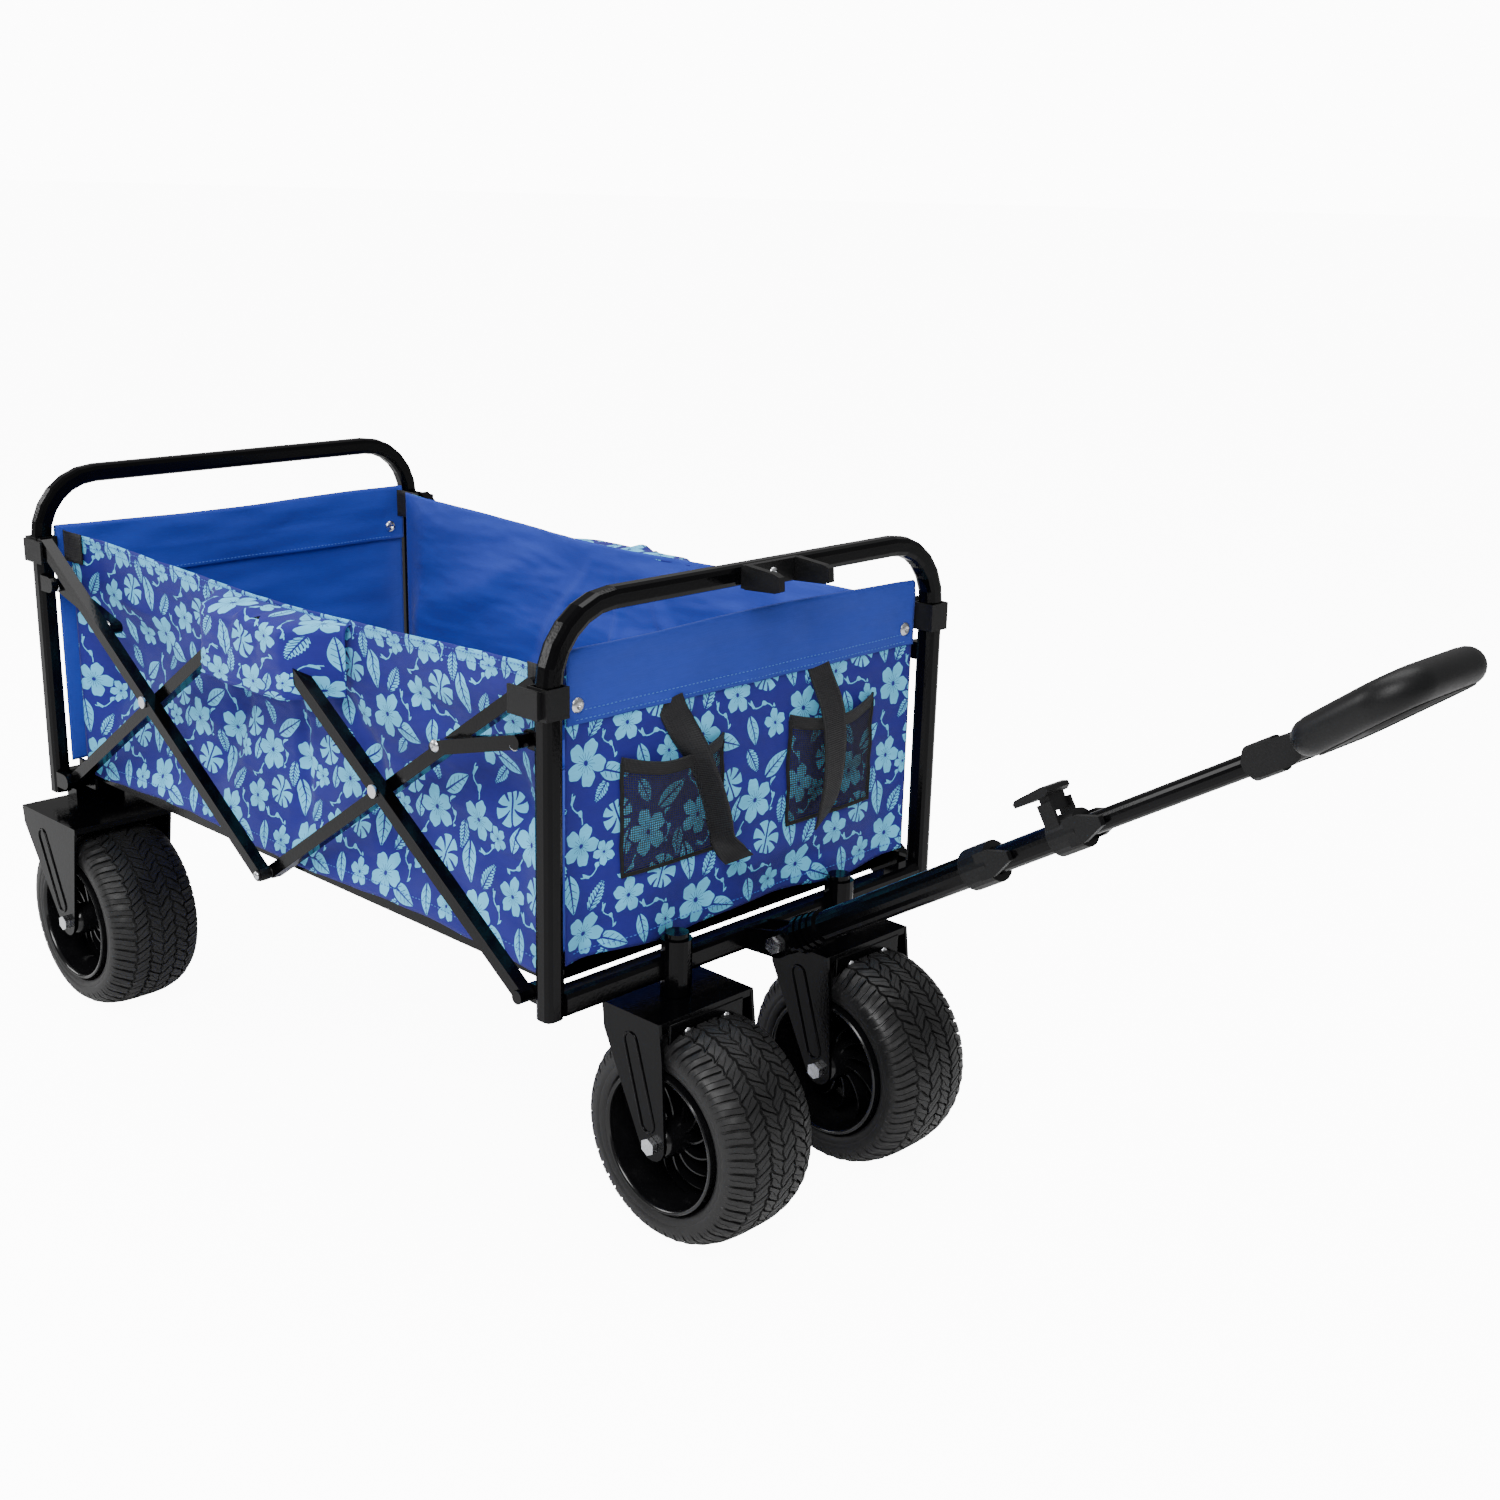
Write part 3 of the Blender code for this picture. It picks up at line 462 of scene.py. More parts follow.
def printed_cloth():
    """Deep blue oxford printed with a repeat of flowers and leaves."""
    ground = (0.012, 0.013, 0.225)
    ink = (0.150, 0.650, 1.0)
    f = Finish("printed_oxford", ground, 0.62)
    place = f.flat()
    flower = hibiscus_motif()
    monstera = monstera_motif()
    leaf = leaf_motif("motif_leaf", 0.44, 0.36, 0.93, 0.0)
    fern = leaf_motif("motif_fern", 0.42, 0.24, 0.45, 0.05)
    sprig = sprig_motif()
    # motif, u and v of its centre and its half size in millimetres, turn in degrees
    layout = (
        (sprig, 67, 74, 17, 150), (sprig, 12, 126, 17, 70), (sprig, 91, 33, 17, 15),
        (sprig, 31, 76, 16, -20), (sprig, 104, 98, 16, 100), (sprig, 44, 34, 14, 60),
        (fern, 31, 54, 14, -60), (fern, 117, 80, 13, 95), (fern, 81, 130, 13, 60),
        (fern, 37, 139, 11, 130), (leaf, 49, 10, 17, 20), (leaf, 6, 60, 18, 80),
        (leaf, 110, 122, 17, -35), (leaf, 80, 14, 14, 75), (leaf, 62, 92, 12, -75),
        (monstera, 97, 56, 19, 110), (monstera, 52, 118, 18, 250),
        (flower, 21, 22, 20, 10), (flower, 84, 95, 20, 40), (flower, 63, 47, 16, 60),
        (flower, 16, 98, 18, 5), (flower, 40, 88, 11, 30), (flower, 107, 16, 13, 50),
    )
    printed = None
    for motif, u, v, half, turn in layout:
        made = f.node("Group", node_tree=motif)
        f.feed(made.inputs["Point"], place)
        made.inputs["Centre"].default_value = (u / 1000, v / 1000, 0)
        made.inputs["Angle"].default_value = math.radians(turn)
        made.inputs["Size"].default_value = 1000 / half
        mask = made.outputs["Mask"]
        if printed is not None:
            bare = f.minus(1.0, made.outputs["Cover"])
            mask = f.math("MAXIMUM", f.times(printed, bare), mask)
        printed = mask
    weave, slub = oxford(f, place)
    fade = f.noise(place, 40.0, 2.0)
    inked = f.mix(f.remap(fade, 0.35, 0.65, 0.0, 1.0), (*(c * 0.86 for c in ink), 1), (*ink, 1))
    return cloth_shader(f, f.mix(printed, (*ground, 1), inked), weave, slub)


def webbing(name, color, pitch=0.0016):
    """Ribbed woven tape, with painted shade in the grooves between its ribs and painted light on the rib
    tops.
    """
    f = Finish(name, color, 0.6)
    u, v, _ = f.split(f.flat())
    turn = 2 * math.pi / pitch
    rib = f.absolute(f.sine(f.times(v, turn / 2)))
    cross = f.absolute(f.sine(f.times(u, turn / 3)))
    height = f.times(rib, f.scale_add(cross, 0.4, 0.6))
    # painted shade and light: half as bright in the rib grooves, half again as bright on the rib tops
    f.two_tone(height, [c * 0.5 for c in color], [c * 1.5 for c in color])
    f.set("Roughness", f.remap(height, 0.0, 1.0, 0.75, 0.5))
    f.set("Sheen Weight", 0.05)
    f.set("Specular IOR Level", 0.3)
    f.relief(height, 0.0005, 0.8)
    return f.material


def net_yarn():
    """Black polyester net yarn."""
    f = Finish("net_yarn", (0.010, 0.010, 0.012), 0.55)
    fibre = f.noise(f.local(), 1500.0, 2.0)
    f.two_tone(fibre, (0.007, 0.007, 0.009), (0.017, 0.017, 0.020))
    f.relief(fibre, 0.0001, 0.5)
    return f.material


def thread(name, color):
    """Sewing thread, two plies."""
    f = Finish(name, color, 0.55)
    ply = f.noise(f.local(), 2200.0, 2.0)
    f.two_tone(ply, [c * 0.75 for c in color], color)
    f.relief(ply, 0.0001, 0.5)
    return f.material


# ---- mesh helpers


def keep(obj, body, slot, *materials):
    """Links obj, gives it its materials and lets it ride its body."""
    show(obj)
    for material in materials:
        obj.data.materials.append(material)
    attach(obj, body)
    return obj


def smooth_mesh(name, bm, sharp=None):
    """A smooth mesh made from bm, with creases past the sharp angle, in degrees."""
    mesh = bpy.data.meshes.new(name)
    bm.to_mesh(mesh)
    bm.free()
    mesh.shade_smooth()
    if sharp is not None:
        mesh.set_sharp_from_angle(angle=math.radians(sharp))
    return mesh


def mesh_object(name, bm, sharp=35):
    """An unlinked object made from bm."""
    return bpy.data.objects.new(name, smooth_mesh(name, bm, sharp))


def sheet_mesh(name, width, height, columns, rows, place):
    """Cloth of that flat size: place(u, v) gives the point for u and v metres of cloth."""
    bm = bmesh.new()
    flat = bm.loops.layers.uv.new("flat")
    grid = []
    for i in range(columns + 1):
        u = width * i / columns
        grid.append([(bm.verts.new(place(u, height * j / rows)), u, height * j / rows)
                     for j in range(rows + 1)])
    for i in range(columns):
        for j in range(rows):
            corners = (grid[i][j], grid[i + 1][j], grid[i + 1][j + 1], grid[i][j + 1])
            face = bm.faces.new([c[0] for c in corners])
            for loop, corner in zip(face.loops, corners):
                loop[flat].uv = (corner[1], corner[2])
    return mesh_object(name, bm, sharp=None)


def thicken(obj, thickness, inner=0):
    """Gives a sheet its thickness, with another material for its inner face."""
    solid = obj.modifiers.new("thickness", "SOLIDIFY")
    solid.thickness = thickness
    solid.offset = 0
    solid.material_offset = inner
    solid.use_even_offset = False
    return obj


def distances(line):
    """How far along a line of points each of them is."""
    lengths = [0.0]
    for a, b in zip(line, line[1:]):
        lengths.append(lengths[-1] + (b - a).length)
    return lengths


def tape(name, route, across, width, thickness=0.0012, rows=6):
    """Flat tape along a route: across(t, point) gives the unit direction of its width."""
    length = distances(route)[-1]
    columns = len(route) - 1
    step = length / columns

    def place(u, v):
        index = min(columns, max(0, round(u / step)))
        point = route[index]
        return point + across(index / columns, point) * (v - width / 2)

    made = sheet_mesh(name, length, width, columns, rows, place)
    for item in made.data.uv_layers["flat"].data:
        item.uv = (item.uv[1], item.uv[0])
    return thicken(made, thickness)


def curve_through(points, per_span=8):
    """A smooth line through the points, as a list."""
    line = []
    for i in range(len(points) - 1):
        before = points[max(0, i - 1)]
        a, b = points[i], points[i + 1]
        after = points[min(len(points) - 1, i + 2)]
        for k in range(per_span):
            t = k / per_span
            square = (2 * before - 5 * a + 4 * b - after) * t ** 2
            line.append(0.5 * ((2 * a) + (b - before) * t + square
                               + (3 * a - before - 3 * b + after) * t ** 3))
    line.append(points[-1])
    return line


def tube(name, points, radius, cyclic=False, resolution=4):
    """A round bead along points, as a curve object."""
    data = bpy.data.curves.new(name, "CURVE")
    data.dimensions = "3D"
    data.bevel_depth = radius
    data.bevel_resolution = resolution
    data.use_fill_caps = True
    line = data.splines.new("POLY")
    line.points.add(len(points) - 1)
    for spot, point in zip(line.points, points):
        spot.co = (*point, 1)
    line.use_cyclic_u = cyclic
    line.use_smooth = True
    return bpy.data.objects.new(name, data)


def turned(name, profile, steps=32):
    """A solid turned about local Z from (radius, height) points."""
    bm = bmesh.new()
    rings = []
    for radius, height in profile:
        if radius < 1e-6:
            rings.append([bm.verts.new((0, 0, height))] * steps)
            continue
        rings.append([bm.verts.new((radius * math.cos(2 * math.pi * k / steps),
                                    radius * math.sin(2 * math.pi * k / steps), height))
                      for k in range(steps)])
    for low, high in zip(rings, rings[1:]):
        for k in range(steps):
            n = (k + 1) % steps
            corners = []
            for vert in (low[k], low[n], high[n], high[k]):
                if vert not in corners:
                    corners.append(vert)
            if len(corners) > 2:
                bm.faces.new(corners)
    bmesh.ops.recalc_face_normals(bm, faces=bm.faces)
    return mesh_object(name, bm)


def face_along(obj, point, direction):
    """Puts obj at point with its local Z along direction."""
    turn = Vector(direction).to_track_quat("Z", "Y")
    obj.matrix_world = Matrix.Translation(point) @ turn.to_matrix().to_4x4()
    return obj


def stitches(name, line, body, material):
    """A row of short stitches along a line of points, as one piece."""
    lengths = distances(line)
    bm = bmesh.new()

    def along(distance):
        for i in range(len(line) - 1):
            if distance <= lengths[i + 1]:
                share = (distance - lengths[i]) / max(1e-9, lengths[i + 1] - lengths[i])
                return line[i].lerp(line[i + 1], share)
        return line[-1]

    count = int(lengths[-1] / (STITCH + STITCH_GAP))
    for k in range(count):
        begin = k * (STITCH + STITCH_GAP)
        a = along(begin)
        b = along(begin + STITCH)
        turn = (b - a).normalized().to_track_quat("Z", "Y").to_matrix().to_4x4()
        made = bmesh.ops.create_icosphere(bm, subdivisions=1, radius=1.0)
        shape = Matrix.Diagonal((STITCH_R * 1.6, STITCH_R * 1.6, (b - a).length / 2, 1))
        place = Matrix.Translation((a + b) / 2) @ turn
        bmesh.ops.transform(bm, matrix=place @ shape, verts=made["verts"])
    return keep(mesh_object(name, bm), body, None, material)


def snap_cap(name, point, direction, body, material):
    """Domed snap rivet with a dimpled middle and a rolled edge."""
    profile = ((0, 0.0006), (0.0012, 0.0006), (0.0018, 0.0014), (0.0030, 0.0023), (0.0044, 0.0020),
               (0.0056, 0.0011), (0.0062, 0.0004), (0.0060, 0.0), (0, 0.0))
    made = face_along(turned(name, profile), point, direction)
    return keep(made, body, "plain_steel", material)


def rivet_head(name, point, direction, body, material, radius=0.0052):
    """Pan-headed rivet with a drive recess."""
    profile = ((0, radius * 0.22), (radius * 0.3, radius * 0.24), (radius * 0.36, radius * 0.44),
               (radius * 0.7, radius * 0.36), (radius * 0.94, radius * 0.16), (radius, 0), (0, 0))
    made = face_along(turned(name, profile, 24), point, direction)
    return keep(made, body, "plain_steel", material)


# ---- basket cloth


def wander(u, v, seed, scale):
    """Smooth deterministic noise, -1 to 1."""
    return noise.noise(Vector((u * scale + seed, v * scale - seed, seed * 0.37)))


def side_seed(side):
    """Where a side's own noise starts."""
    return 1.7 if side > 0 else 5.3


# Creases of a side cloth: direction from the middle of its top, half width and depth
SIDE_CREASES = ((-0.95, 0.16, 0.011), (-0.42, 0.10, 0.008), (0.05, 0.07, 0.006), (0.50, 0.11, 0.010),
                (1.00, 0.14, 0.012))


def side_folds(x, rise, seed):
    """How far a side leans into the basket: creases that fan out from the middle of its top."""
    depth = 1 - rise
    away = math.atan2(x, 0.06 + 0.30 * depth)
    lean = 0.004 + 0.010 * max(0.0, math.sin(math.pi * min(1, max(0, rise)))) ** 0.8
    for centre, width, height in SIDE_CREASES:
        shift = centre + 0.05 * wander(rise, centre, seed, 3.0)
        lean += height * bump(away - shift, width) * smooth(depth * 1.6) * smooth(rise * 3.0)
    fine = 0.0012 * wander(x, rise, seed, 34.0)
    lean += 0.0035 * wander(x, rise, seed + 3, 9.0) * smooth(rise * 4) + fine
    ends = smooth((SIDE_HALF - abs(x)) / 0.05)
    return max(0.0, lean) * ends * smooth(rise * 5 + 0.1)


def side_top(x):
    """Height of a side's top hem."""
    return SIDE_TOP + 0.008 - SIDE_SAG * (1 - (x / SIDE_HALF) ** 2) * (0.7 + 0.3 * math.cos(9 * x))


def side_bottom(x):
    """Height of a side's bottom hem."""
    return SIDE_BOTTOM - 0.003 * math.cos(2 * math.pi * x / SIDE_HALF) + 0.0015 * wander(x, 0, 2.0, 30)


def side_point(x, rise, side, seed, stand=0.0):
    """A point of a side cloth, for x and a share of the way up."""
    z = side_bottom(x) + (side_top(x) - side_bottom(x)) * rise
    y = SIDE_Y - side_folds(x, rise, seed) + stand
    return at(x, side * y, z)


def side_panels(printed, plain, blue_thread):
    """Both long sides: printed outside and plain inside, with hems."""
    stitched = {"top": 0.955, "top_edge": 0.985, "bottom": 0.05}
    for label, side in SIDES:
        seed = side_seed(side)
        width, height = 2 * SIDE_HALF, side_top(0) - side_bottom(0)

        def place(u, v, side=side, seed=seed, width=width, height=height):
            x = (u - width / 2) * -side
            return side_point(x, v / height, side, seed)

        name = "side_cloth_" + label
        cloth = sheet_mesh(name, width, height, columns=260, rows=84, place=place)
        thicken(cloth, CLOTH, inner=1)
        keep(cloth, "front_frame", "printed_fabric", printed, plain)
        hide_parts("side_panel_" + label)
        rows = []
        for hem, rise in stitched.items():
            line = [side_point(-SIDE_HALF + 2 * SIDE_HALF * k / 180, rise, side, seed, STITCH_STAND)
                    for k in range(181)]
            rows.append(stitches(f"side_{hem}_stitches_{label}", line, "front_frame", blue_thread))
        for piece in [cloth] + rows:
            fold_with_sides(piece)


def fold_with_sides(piece):
    """Gives a piece its own copy of its mesh."""
    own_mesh(piece)


def panel_bulge(y, rise, end):
    """How far an end panel stands out from its plane between the posts."""
    across = 1 - (y / PANEL_HALF) ** 2
    belly = 0.006 * across * max(0.0, math.sin(math.pi * min(1, rise * 1.15))) ** 0.7
    ripple = 0.0022 * math.sin(52 * y + 2 * end) * (1 - smooth(rise * 2.2))
    sag = 0.0035 * bump(rise - 0.16 - 0.10 * abs(y) / PANEL_HALF, 0.12) * across
    return belly + ripple + sag + 0.002 * wander(y, rise, 4.0 + end, 14.0)


def panel_point(y, z, end, top, stand=0.0):
    """A point of an end panel's cloth, or one that stands off it."""
    rise = (z - PANEL_BOTTOM) / (top - PANEL_BOTTOM)
    out = (panel_bulge(y, rise, end) - 0.002) * smooth((PANEL_HALF - abs(y)) / 0.03)
    return at(end * (PANEL_X + out + stand), y, z)


def end_panels(printed, plain, blue_thread):
    """The front and the rear panel, each with a plain band folded over its top."""
    for name, end, top in ENDS:
        width, height = 2 * END_HALF[name], top - PANEL_BOTTOM
        body = name + "_frame"

        def place(u, v, end=end, top=top, width=width):
            y = (u - width / 2) * end
            z = PANEL_BOTTOM + v
            wave = 0.0035 * math.sin(31 * y + end) * (1 - smooth(v / 0.04))
            return panel_point(y, z + wave, end, top)

        cloth = sheet_mesh(f"{name}_cloth", width, height, columns=150, rows=84, place=place)
        thicken(cloth, CLOTH, inner=1)
        keep(cloth, body, "printed_fabric", printed, plain)
        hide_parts(name + "_panel")
        rows = band(name, end, top, body, plain, blue_thread)
        line = [panel_point(y, PANEL_BOTTOM + 0.010, end, top, 0.0008) for y in SEAM_YS]
        rows = rows + [stitches(f"{name}_bottom_stitches", line, body, blue_thread)]


def band(name, end, top, body, plain, blue_thread):
    """Plain band over a panel's top edge, outside and inside. Returns its rows of stitches."""
    width = 2 * END_HALF[name]
    turn = BAND_ROLL
    length = 2 * BAND_DEPTH + math.pi * turn

    def place(u, v):
        y = (u - width / 2) * end
        roll = 0.0011 * wander(y, v, 8.0 + end, 20.0)
        roll += 0.0016 * math.sin(40 * v) * wander(y, 0.0, 2.0, 9.0)
        lift = 0.0015 * math.sin(17 * y + end)
        if v < BAND_DEPTH:
            return panel_point(y, top - BAND_DEPTH + v + lift * v / BAND_DEPTH, end, top,
                               BAND_STAND + abs(roll) * smooth((BAND_DEPTH - v) / 0.012))
        if v > BAND_DEPTH + math.pi * turn:
            down = v - BAND_DEPTH - math.pi * turn
            return panel_point(y, top - down + lift * (1 - down / BAND_DEPTH), end, top,
                               -2 * turn + BAND_STAND - abs(roll) * smooth(down / 0.012))
        angle = (v - BAND_DEPTH) / turn
        centre = panel_point(y, top + lift, end, top, BAND_STAND - turn)
        return centre + Vector((end * turn * math.cos(angle), 0, turn * math.sin(angle)))

    cloth = sheet_mesh(name + "_band", width, length, columns=130, rows=60, place=place)
    thicken(cloth, CLOTH)
    keep(cloth, body, "plain_fabric", plain)
    rows = []
    outer, inner = BAND_STAND + STITCH_STAND, -2 * turn + BAND_STAND - 0.0008
    for label, above, stand in (("outer", 0.0035, outer), ("outer_second", 0.0105, outer),
                                ("inner", 0.0035, inner)):
        line = [panel_point(y, top - BAND_DEPTH + above, end, top, stand) for y in SEAM_YS]
        rows.append(stitches(f"{name}_band_{label}_stitches", line, body, blue_thread))
    return rows


def centre_flaps(printed, plain):
    """Printed flap over the upper centre joint of each side, standing clear of the crossed bars."""
    half, bottom, height = 0.104, 0.410, 0.118
    for label, side in SIDES:

        def place(u, v, side=side):
            x = (u - half) * side
            share = v / height
            head = max(SIDE_TOP - 0.006, BAR_HEAD + 0.007 - 0.62 * abs(x))
            over = smooth(share / 0.36)
            start_z = side_top(x) - 0.004
            fallen = smooth((share - 0.20) / 0.80) ** 0.9
            z = start_z + (head - start_z) * over - (head - bottom) * fallen
            z -= 0.005 * math.cos(math.pi * x / (2 * half)) * share ** 2
            ends = smooth((half - abs(x)) / 0.045)
            out = (BAR_OUTER_Y + 0.0040 - SIDE_Y) * ends * over
            ripple = 0.0020 * math.sin(70 * x + 3 * share) + 0.0018 * wander(x, share, 9.0 + side, 26.0)
            lean = side_folds(x, 0.96, side_seed(side)) * (1 - over)
            return at(x, side * (SIDE_Y + 0.0012 + out + abs(ripple) * ends * over - lean), z)

        flap = sheet_mesh("centre_flap_" + label, 2 * half, height, columns=90, rows=36, place=place)
        thicken(flap, CLOTH, inner=1)
        keep(flap, "front_frame", "printed_fabric", printed, plain)
        fold_with_sides(flap)


def corner_tabs(tape_black):
    """Black reinforcing tape between a side and an end panel at each top corner."""
    for frame_name, end, top in ENDS:
        for label, side in SIDES:
            z = min(top, SIDE_TOP + 0.012) - 0.016
            route = curve_through([
                at(end * (SIDE_HALF - 0.022), side * (SIDE_Y + 0.0008), z),
                at(end * (SIDE_HALF - 0.004), side * (SIDE_Y + 0.0014), z),
                at(end * (PANEL_X - 0.006), side * (SIDE_Y + 0.0005), z),
                at(end * (PANEL_X + 0.0010), side * (SIDE_Y - 0.006), z),
                at(end * (PANEL_X + 0.0012), side * (SIDE_Y - 0.020), z),
            ])
            if end > 0:
                route = route[:len(route) * 2 // 5]
            tab = tape(f"corner_tab_{frame_name}_{label}", route, lambda t, p: Vector((0, 0, 1)),
                       width=0.030)
            keep(tab, frame_name + "_frame", None, tape_black)


def net_pockets(yarn, edging):
    """Two loose net pockets on the front panel, each with a bound edge."""
    for label, side in SIDES:
        low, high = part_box("pocket_" + label)
        width, height = high.y - low.y, high.z - low.z
        depth = high.x - low.x

        def surface(u, v, low=low, width=width, height=height, depth=depth, side=side):
            y = low.y + u
            droop = 0.010 * math.sin(math.pi * u / width) * smooth(v / height) ** 2
            z = low.z + v * (1 - droop / height)
            base = panel_point(y, z, 1, FRONT_TOP, 0.0016).x
            slack = max(0.0, math.sin(math.pi * u / width)) ** 0.6 * (0.25 + 0.75 * v / height)
            pleat = 0.0012 * math.sin(95 * u + side) * (v / height)
            loose = (depth - 0.008) * slack * smooth(v / height * 3)
            return Vector((base + max(0.0, loose + pleat * slack), y, z))

        net = sheet_mesh("pocket_net_" + label, width, height, columns=54, rows=46, place=surface)
        wires = net.modifiers.new("yarns", "WIREFRAME")
        wires.thickness = 0.00062
        wires.use_boundary = True
        keep(net, "front_frame", "pocket_mesh", yarn)
        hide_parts("pocket_" + label)
        across = [surface(width * k / 40, height) for k in range(41)]
        rim = tape("pocket_rim_" + label, across, lambda t, p: Vector((0.15, 0, 1)).normalized(),
                   width=0.011, thickness=0.0022)
        keep(rim, "front_frame", "pocket_mesh", edging)
        edge_line = [surface(0.0005, height - height * k / 20) for k in range(21)]
        edge_line += [surface(width * k / 30, 0.0005) for k in range(1, 30)]
        edge_line += [surface(width - 0.0005, height * k / 20) for k in range(21)]
        side_edge = tube("pocket_edge_" + label, edge_line, radius=0.0016)
        keep(side_edge, "front_frame", "pocket_mesh", edging)


def front_x(y, z, stand):
    """x of a point that stands off the front panel, from the middle of the basket."""
    return panel_point(y, z, 1, FRONT_TOP, stand).x - MIDDLE_X


def strap_route(spots):
    """The route of a strap, from its points' y, height and distance off the front panel."""
    return curve_through([at(front_x(y, z, out), y, z) for y, z, out in spots], 10)


def straps(tape_black):
    """Two webbing straps that hang from under the front band."""
    width = 0.025
    top = FRONT_TOP - BAND_DEPTH
    near_spots = ((-0.098, top + 0.003, 0.0006), (-0.096, top - 0.006, 0.003), (-0.089, top - 0.024, 0.009),
                  (-0.078, top - 0.046, 0.013), (-0.066, top - 0.072, 0.014), (-0.056, top - 0.098, 0.013),
                  (-0.047, top - 0.120, 0.011), (-0.040, top - 0.134, 0.014), (-0.036, top - 0.141, 0.019))

    def near_across(t, _):
        turn = math.radians(15 + 62 * smooth((t - 0.15) / 0.3) - 50 * smooth((t - 0.72) / 0.2))
        return Vector((math.sin(turn), math.cos(turn), 0.30 * math.cos(turn))).normalized()

    far_spots = ((0.078, top + 0.003, 0.0006), (0.079, top - 0.008, 0.004), (0.081, top - 0.030, 0.0145),
                 (0.082, top - 0.050, 0.0175), (0.083, top - 0.075, 0.0175), (0.082, top - 0.100, 0.0165),
                 (0.079, top - 0.120, 0.0150), (0.076, top - 0.134, 0.0105))

    def far_across(t, _):
        return Vector((0.12 * math.sin(5 * t), 1, 0.10 + 0.5 * smooth((t - 0.8) / 0.2))).normalized()

    for label, spots, across, length in (("right", near_spots, near_across, 0.165),
                                         ("left", far_spots, far_across, 0.150)):
        strap = tape("strap_" + label, strap_route(spots), across, width, thickness=0.0016, rows=8)
        keep(strap, "front_frame", None, tape_black)


def snaps(steel):
    """Snap rivets at the ends of both bands, outside and inside."""
    for name, end, top in ENDS:
        for label, side in SIDES:
            z = top - 0.042
            y = side * (PANEL_HALF - 0.0165)
            for face, stand in (("outer", BAND_STAND + 0.0006), ("inner", -0.0038)):
                point = panel_point(y, z, end, top, stand)
                direction = (end if face == "outer" else -end, 0, 0)
                snap_cap(f"{name}_snap_{face}_{label}", point, direction, name + "_frame", steel)


# ---- padded floor


def pad_shell(low, high, columns=56, rows=60):
    """A flat pillow: top and bottom sheets joined along a seam half way up."""
    bm = bmesh.new()
    flat = bm.loops.layers.uv.new("flat")
    middle = (low.z + high.z) / 2
    half = (high.z - low.z) / 2

    def height(i, j):
        edge = min(i, columns - i, j, rows - j) / 3
        return half * math.sqrt(max(0.0, 1 - (1 - min(1.0, edge)) ** 2))

    for face_sign in (1, -1):
        grid = {}
        for i in range(columns + 1):
            for j in range(rows + 1):
                x = low.x + (high.x - low.x) * i / columns
                y = low.y + (high.y - low.y) * j / rows
                grid[i, j] = bm.verts.new((x, y, middle + face_sign * height(i, j)))
        for i in range(columns):
            for j in range(rows):
                corners = [grid[i, j], grid[i + 1, j], grid[i + 1, j + 1], grid[i, j + 1]]
                face = bm.faces.new(corners if face_sign > 0 else corners[::-1])
                for loop in face.loops:
                    loop[flat].uv = (loop.vert.co.x, loop.vert.co.y)
    bmesh.ops.remove_doubles(bm, verts=bm.verts, dist=1e-5)
    return bm


def swell(pad, seams, cap=0.005, frames=18):
    """Puffs a pad by at most cap with pressure in a cloth simulation, held down along its seams."""
    rest = [v.co.copy() for v in pad.data.vertices]
    held = pad.vertex_groups.new(name="seams")
    for vertex in pad.data.vertices:
        if any(abs(vertex.co[axis] - place) < 0.004 for axis, place in seams):
            held.add([vertex.index], 1.0, "REPLACE")
    cloth = pad.modifiers.new("cloth", "CLOTH")
    settings = cloth.settings
    settings.quality = 5
    settings.mass = 0.25
    settings.use_pressure = True
    settings.uniform_pressure_force = 4.0
    settings.tension_stiffness = 30
    settings.compression_stiffness = 30
    settings.bending_stiffness = 0.8
    settings.shrink_min = -0.012
    settings.effector_weights.gravity = 0
    settings.vertex_group_mass = "seams"
    cloth.point_cache.frame_start = 1
    cloth.point_cache.frame_end = frames
    scene = bpy.context.scene
    for number in range(1, frames + 1):
        scene.frame_set(number)
    moved = pad.evaluated_get(bpy.context.evaluated_depsgraph_get()).to_mesh()
    settled = [v.co.copy() for v in moved.vertices]
    pad.modifiers.remove(cloth)
    for vertex, before, after in zip(pad.data.vertices, rest, settled):
        step = after - before
        if step.length > cap:
            step *= cap / step.length
        vertex.co = before + step
    scene.frame_set(1)


def floor_pads(plain):
    """Both padded floor boards, swollen by simulation, with sewn channels and piping."""
    for name in ("floor_front", "floor_rear"):
        low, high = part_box(name + "_pad")
        low, high = low.copy(), high.copy()
        low.z += 0.0012
        third = (high.x - low.x) / 3
        seams = ((0, low.x + third), (0, low.x + 2 * third))
        pad = mesh_object(name + "_board", pad_shell(low, high), sharp=None)
        show(pad)
        swell(pad, seams)
        floor_level = low.z
        for vertex in pad.data.vertices:
            near = max(bump(vertex.co.x - place, 0.010) for _, place in seams)
            if vertex.co.z > (low.z + high.z) / 2:
                vertex.co.z -= 0.0036 * near
            vertex.co.z = max(vertex.co.z, floor_level)
            vertex.co.x = min(max(vertex.co.x, low.x), high.x)
            vertex.co.y = min(max(vertex.co.y, low.y), high.y)
        pad.data.materials.append(plain)
        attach(pad, name)
        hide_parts(name + "_pad")
        extra = pad.modifiers.new("round", "SUBSURF")
        extra.levels = 1
        extra.render_levels = 1
        inset = 0.0025
        middle = (low.z + high.z) / 2
        corners = [(low.x + inset, low.y + inset), (high.x - inset, low.y + inset),
                   (high.x - inset, high.y - inset), (low.x + inset, high.y - inset)]
        line = [Vector((x, y, middle)) for x, y in corners]
        bead = tube(name + "_piping", line, radius=0.0019, cyclic=True)
        keep(bead, name, "plain_fabric", plain)


# ---- wheels

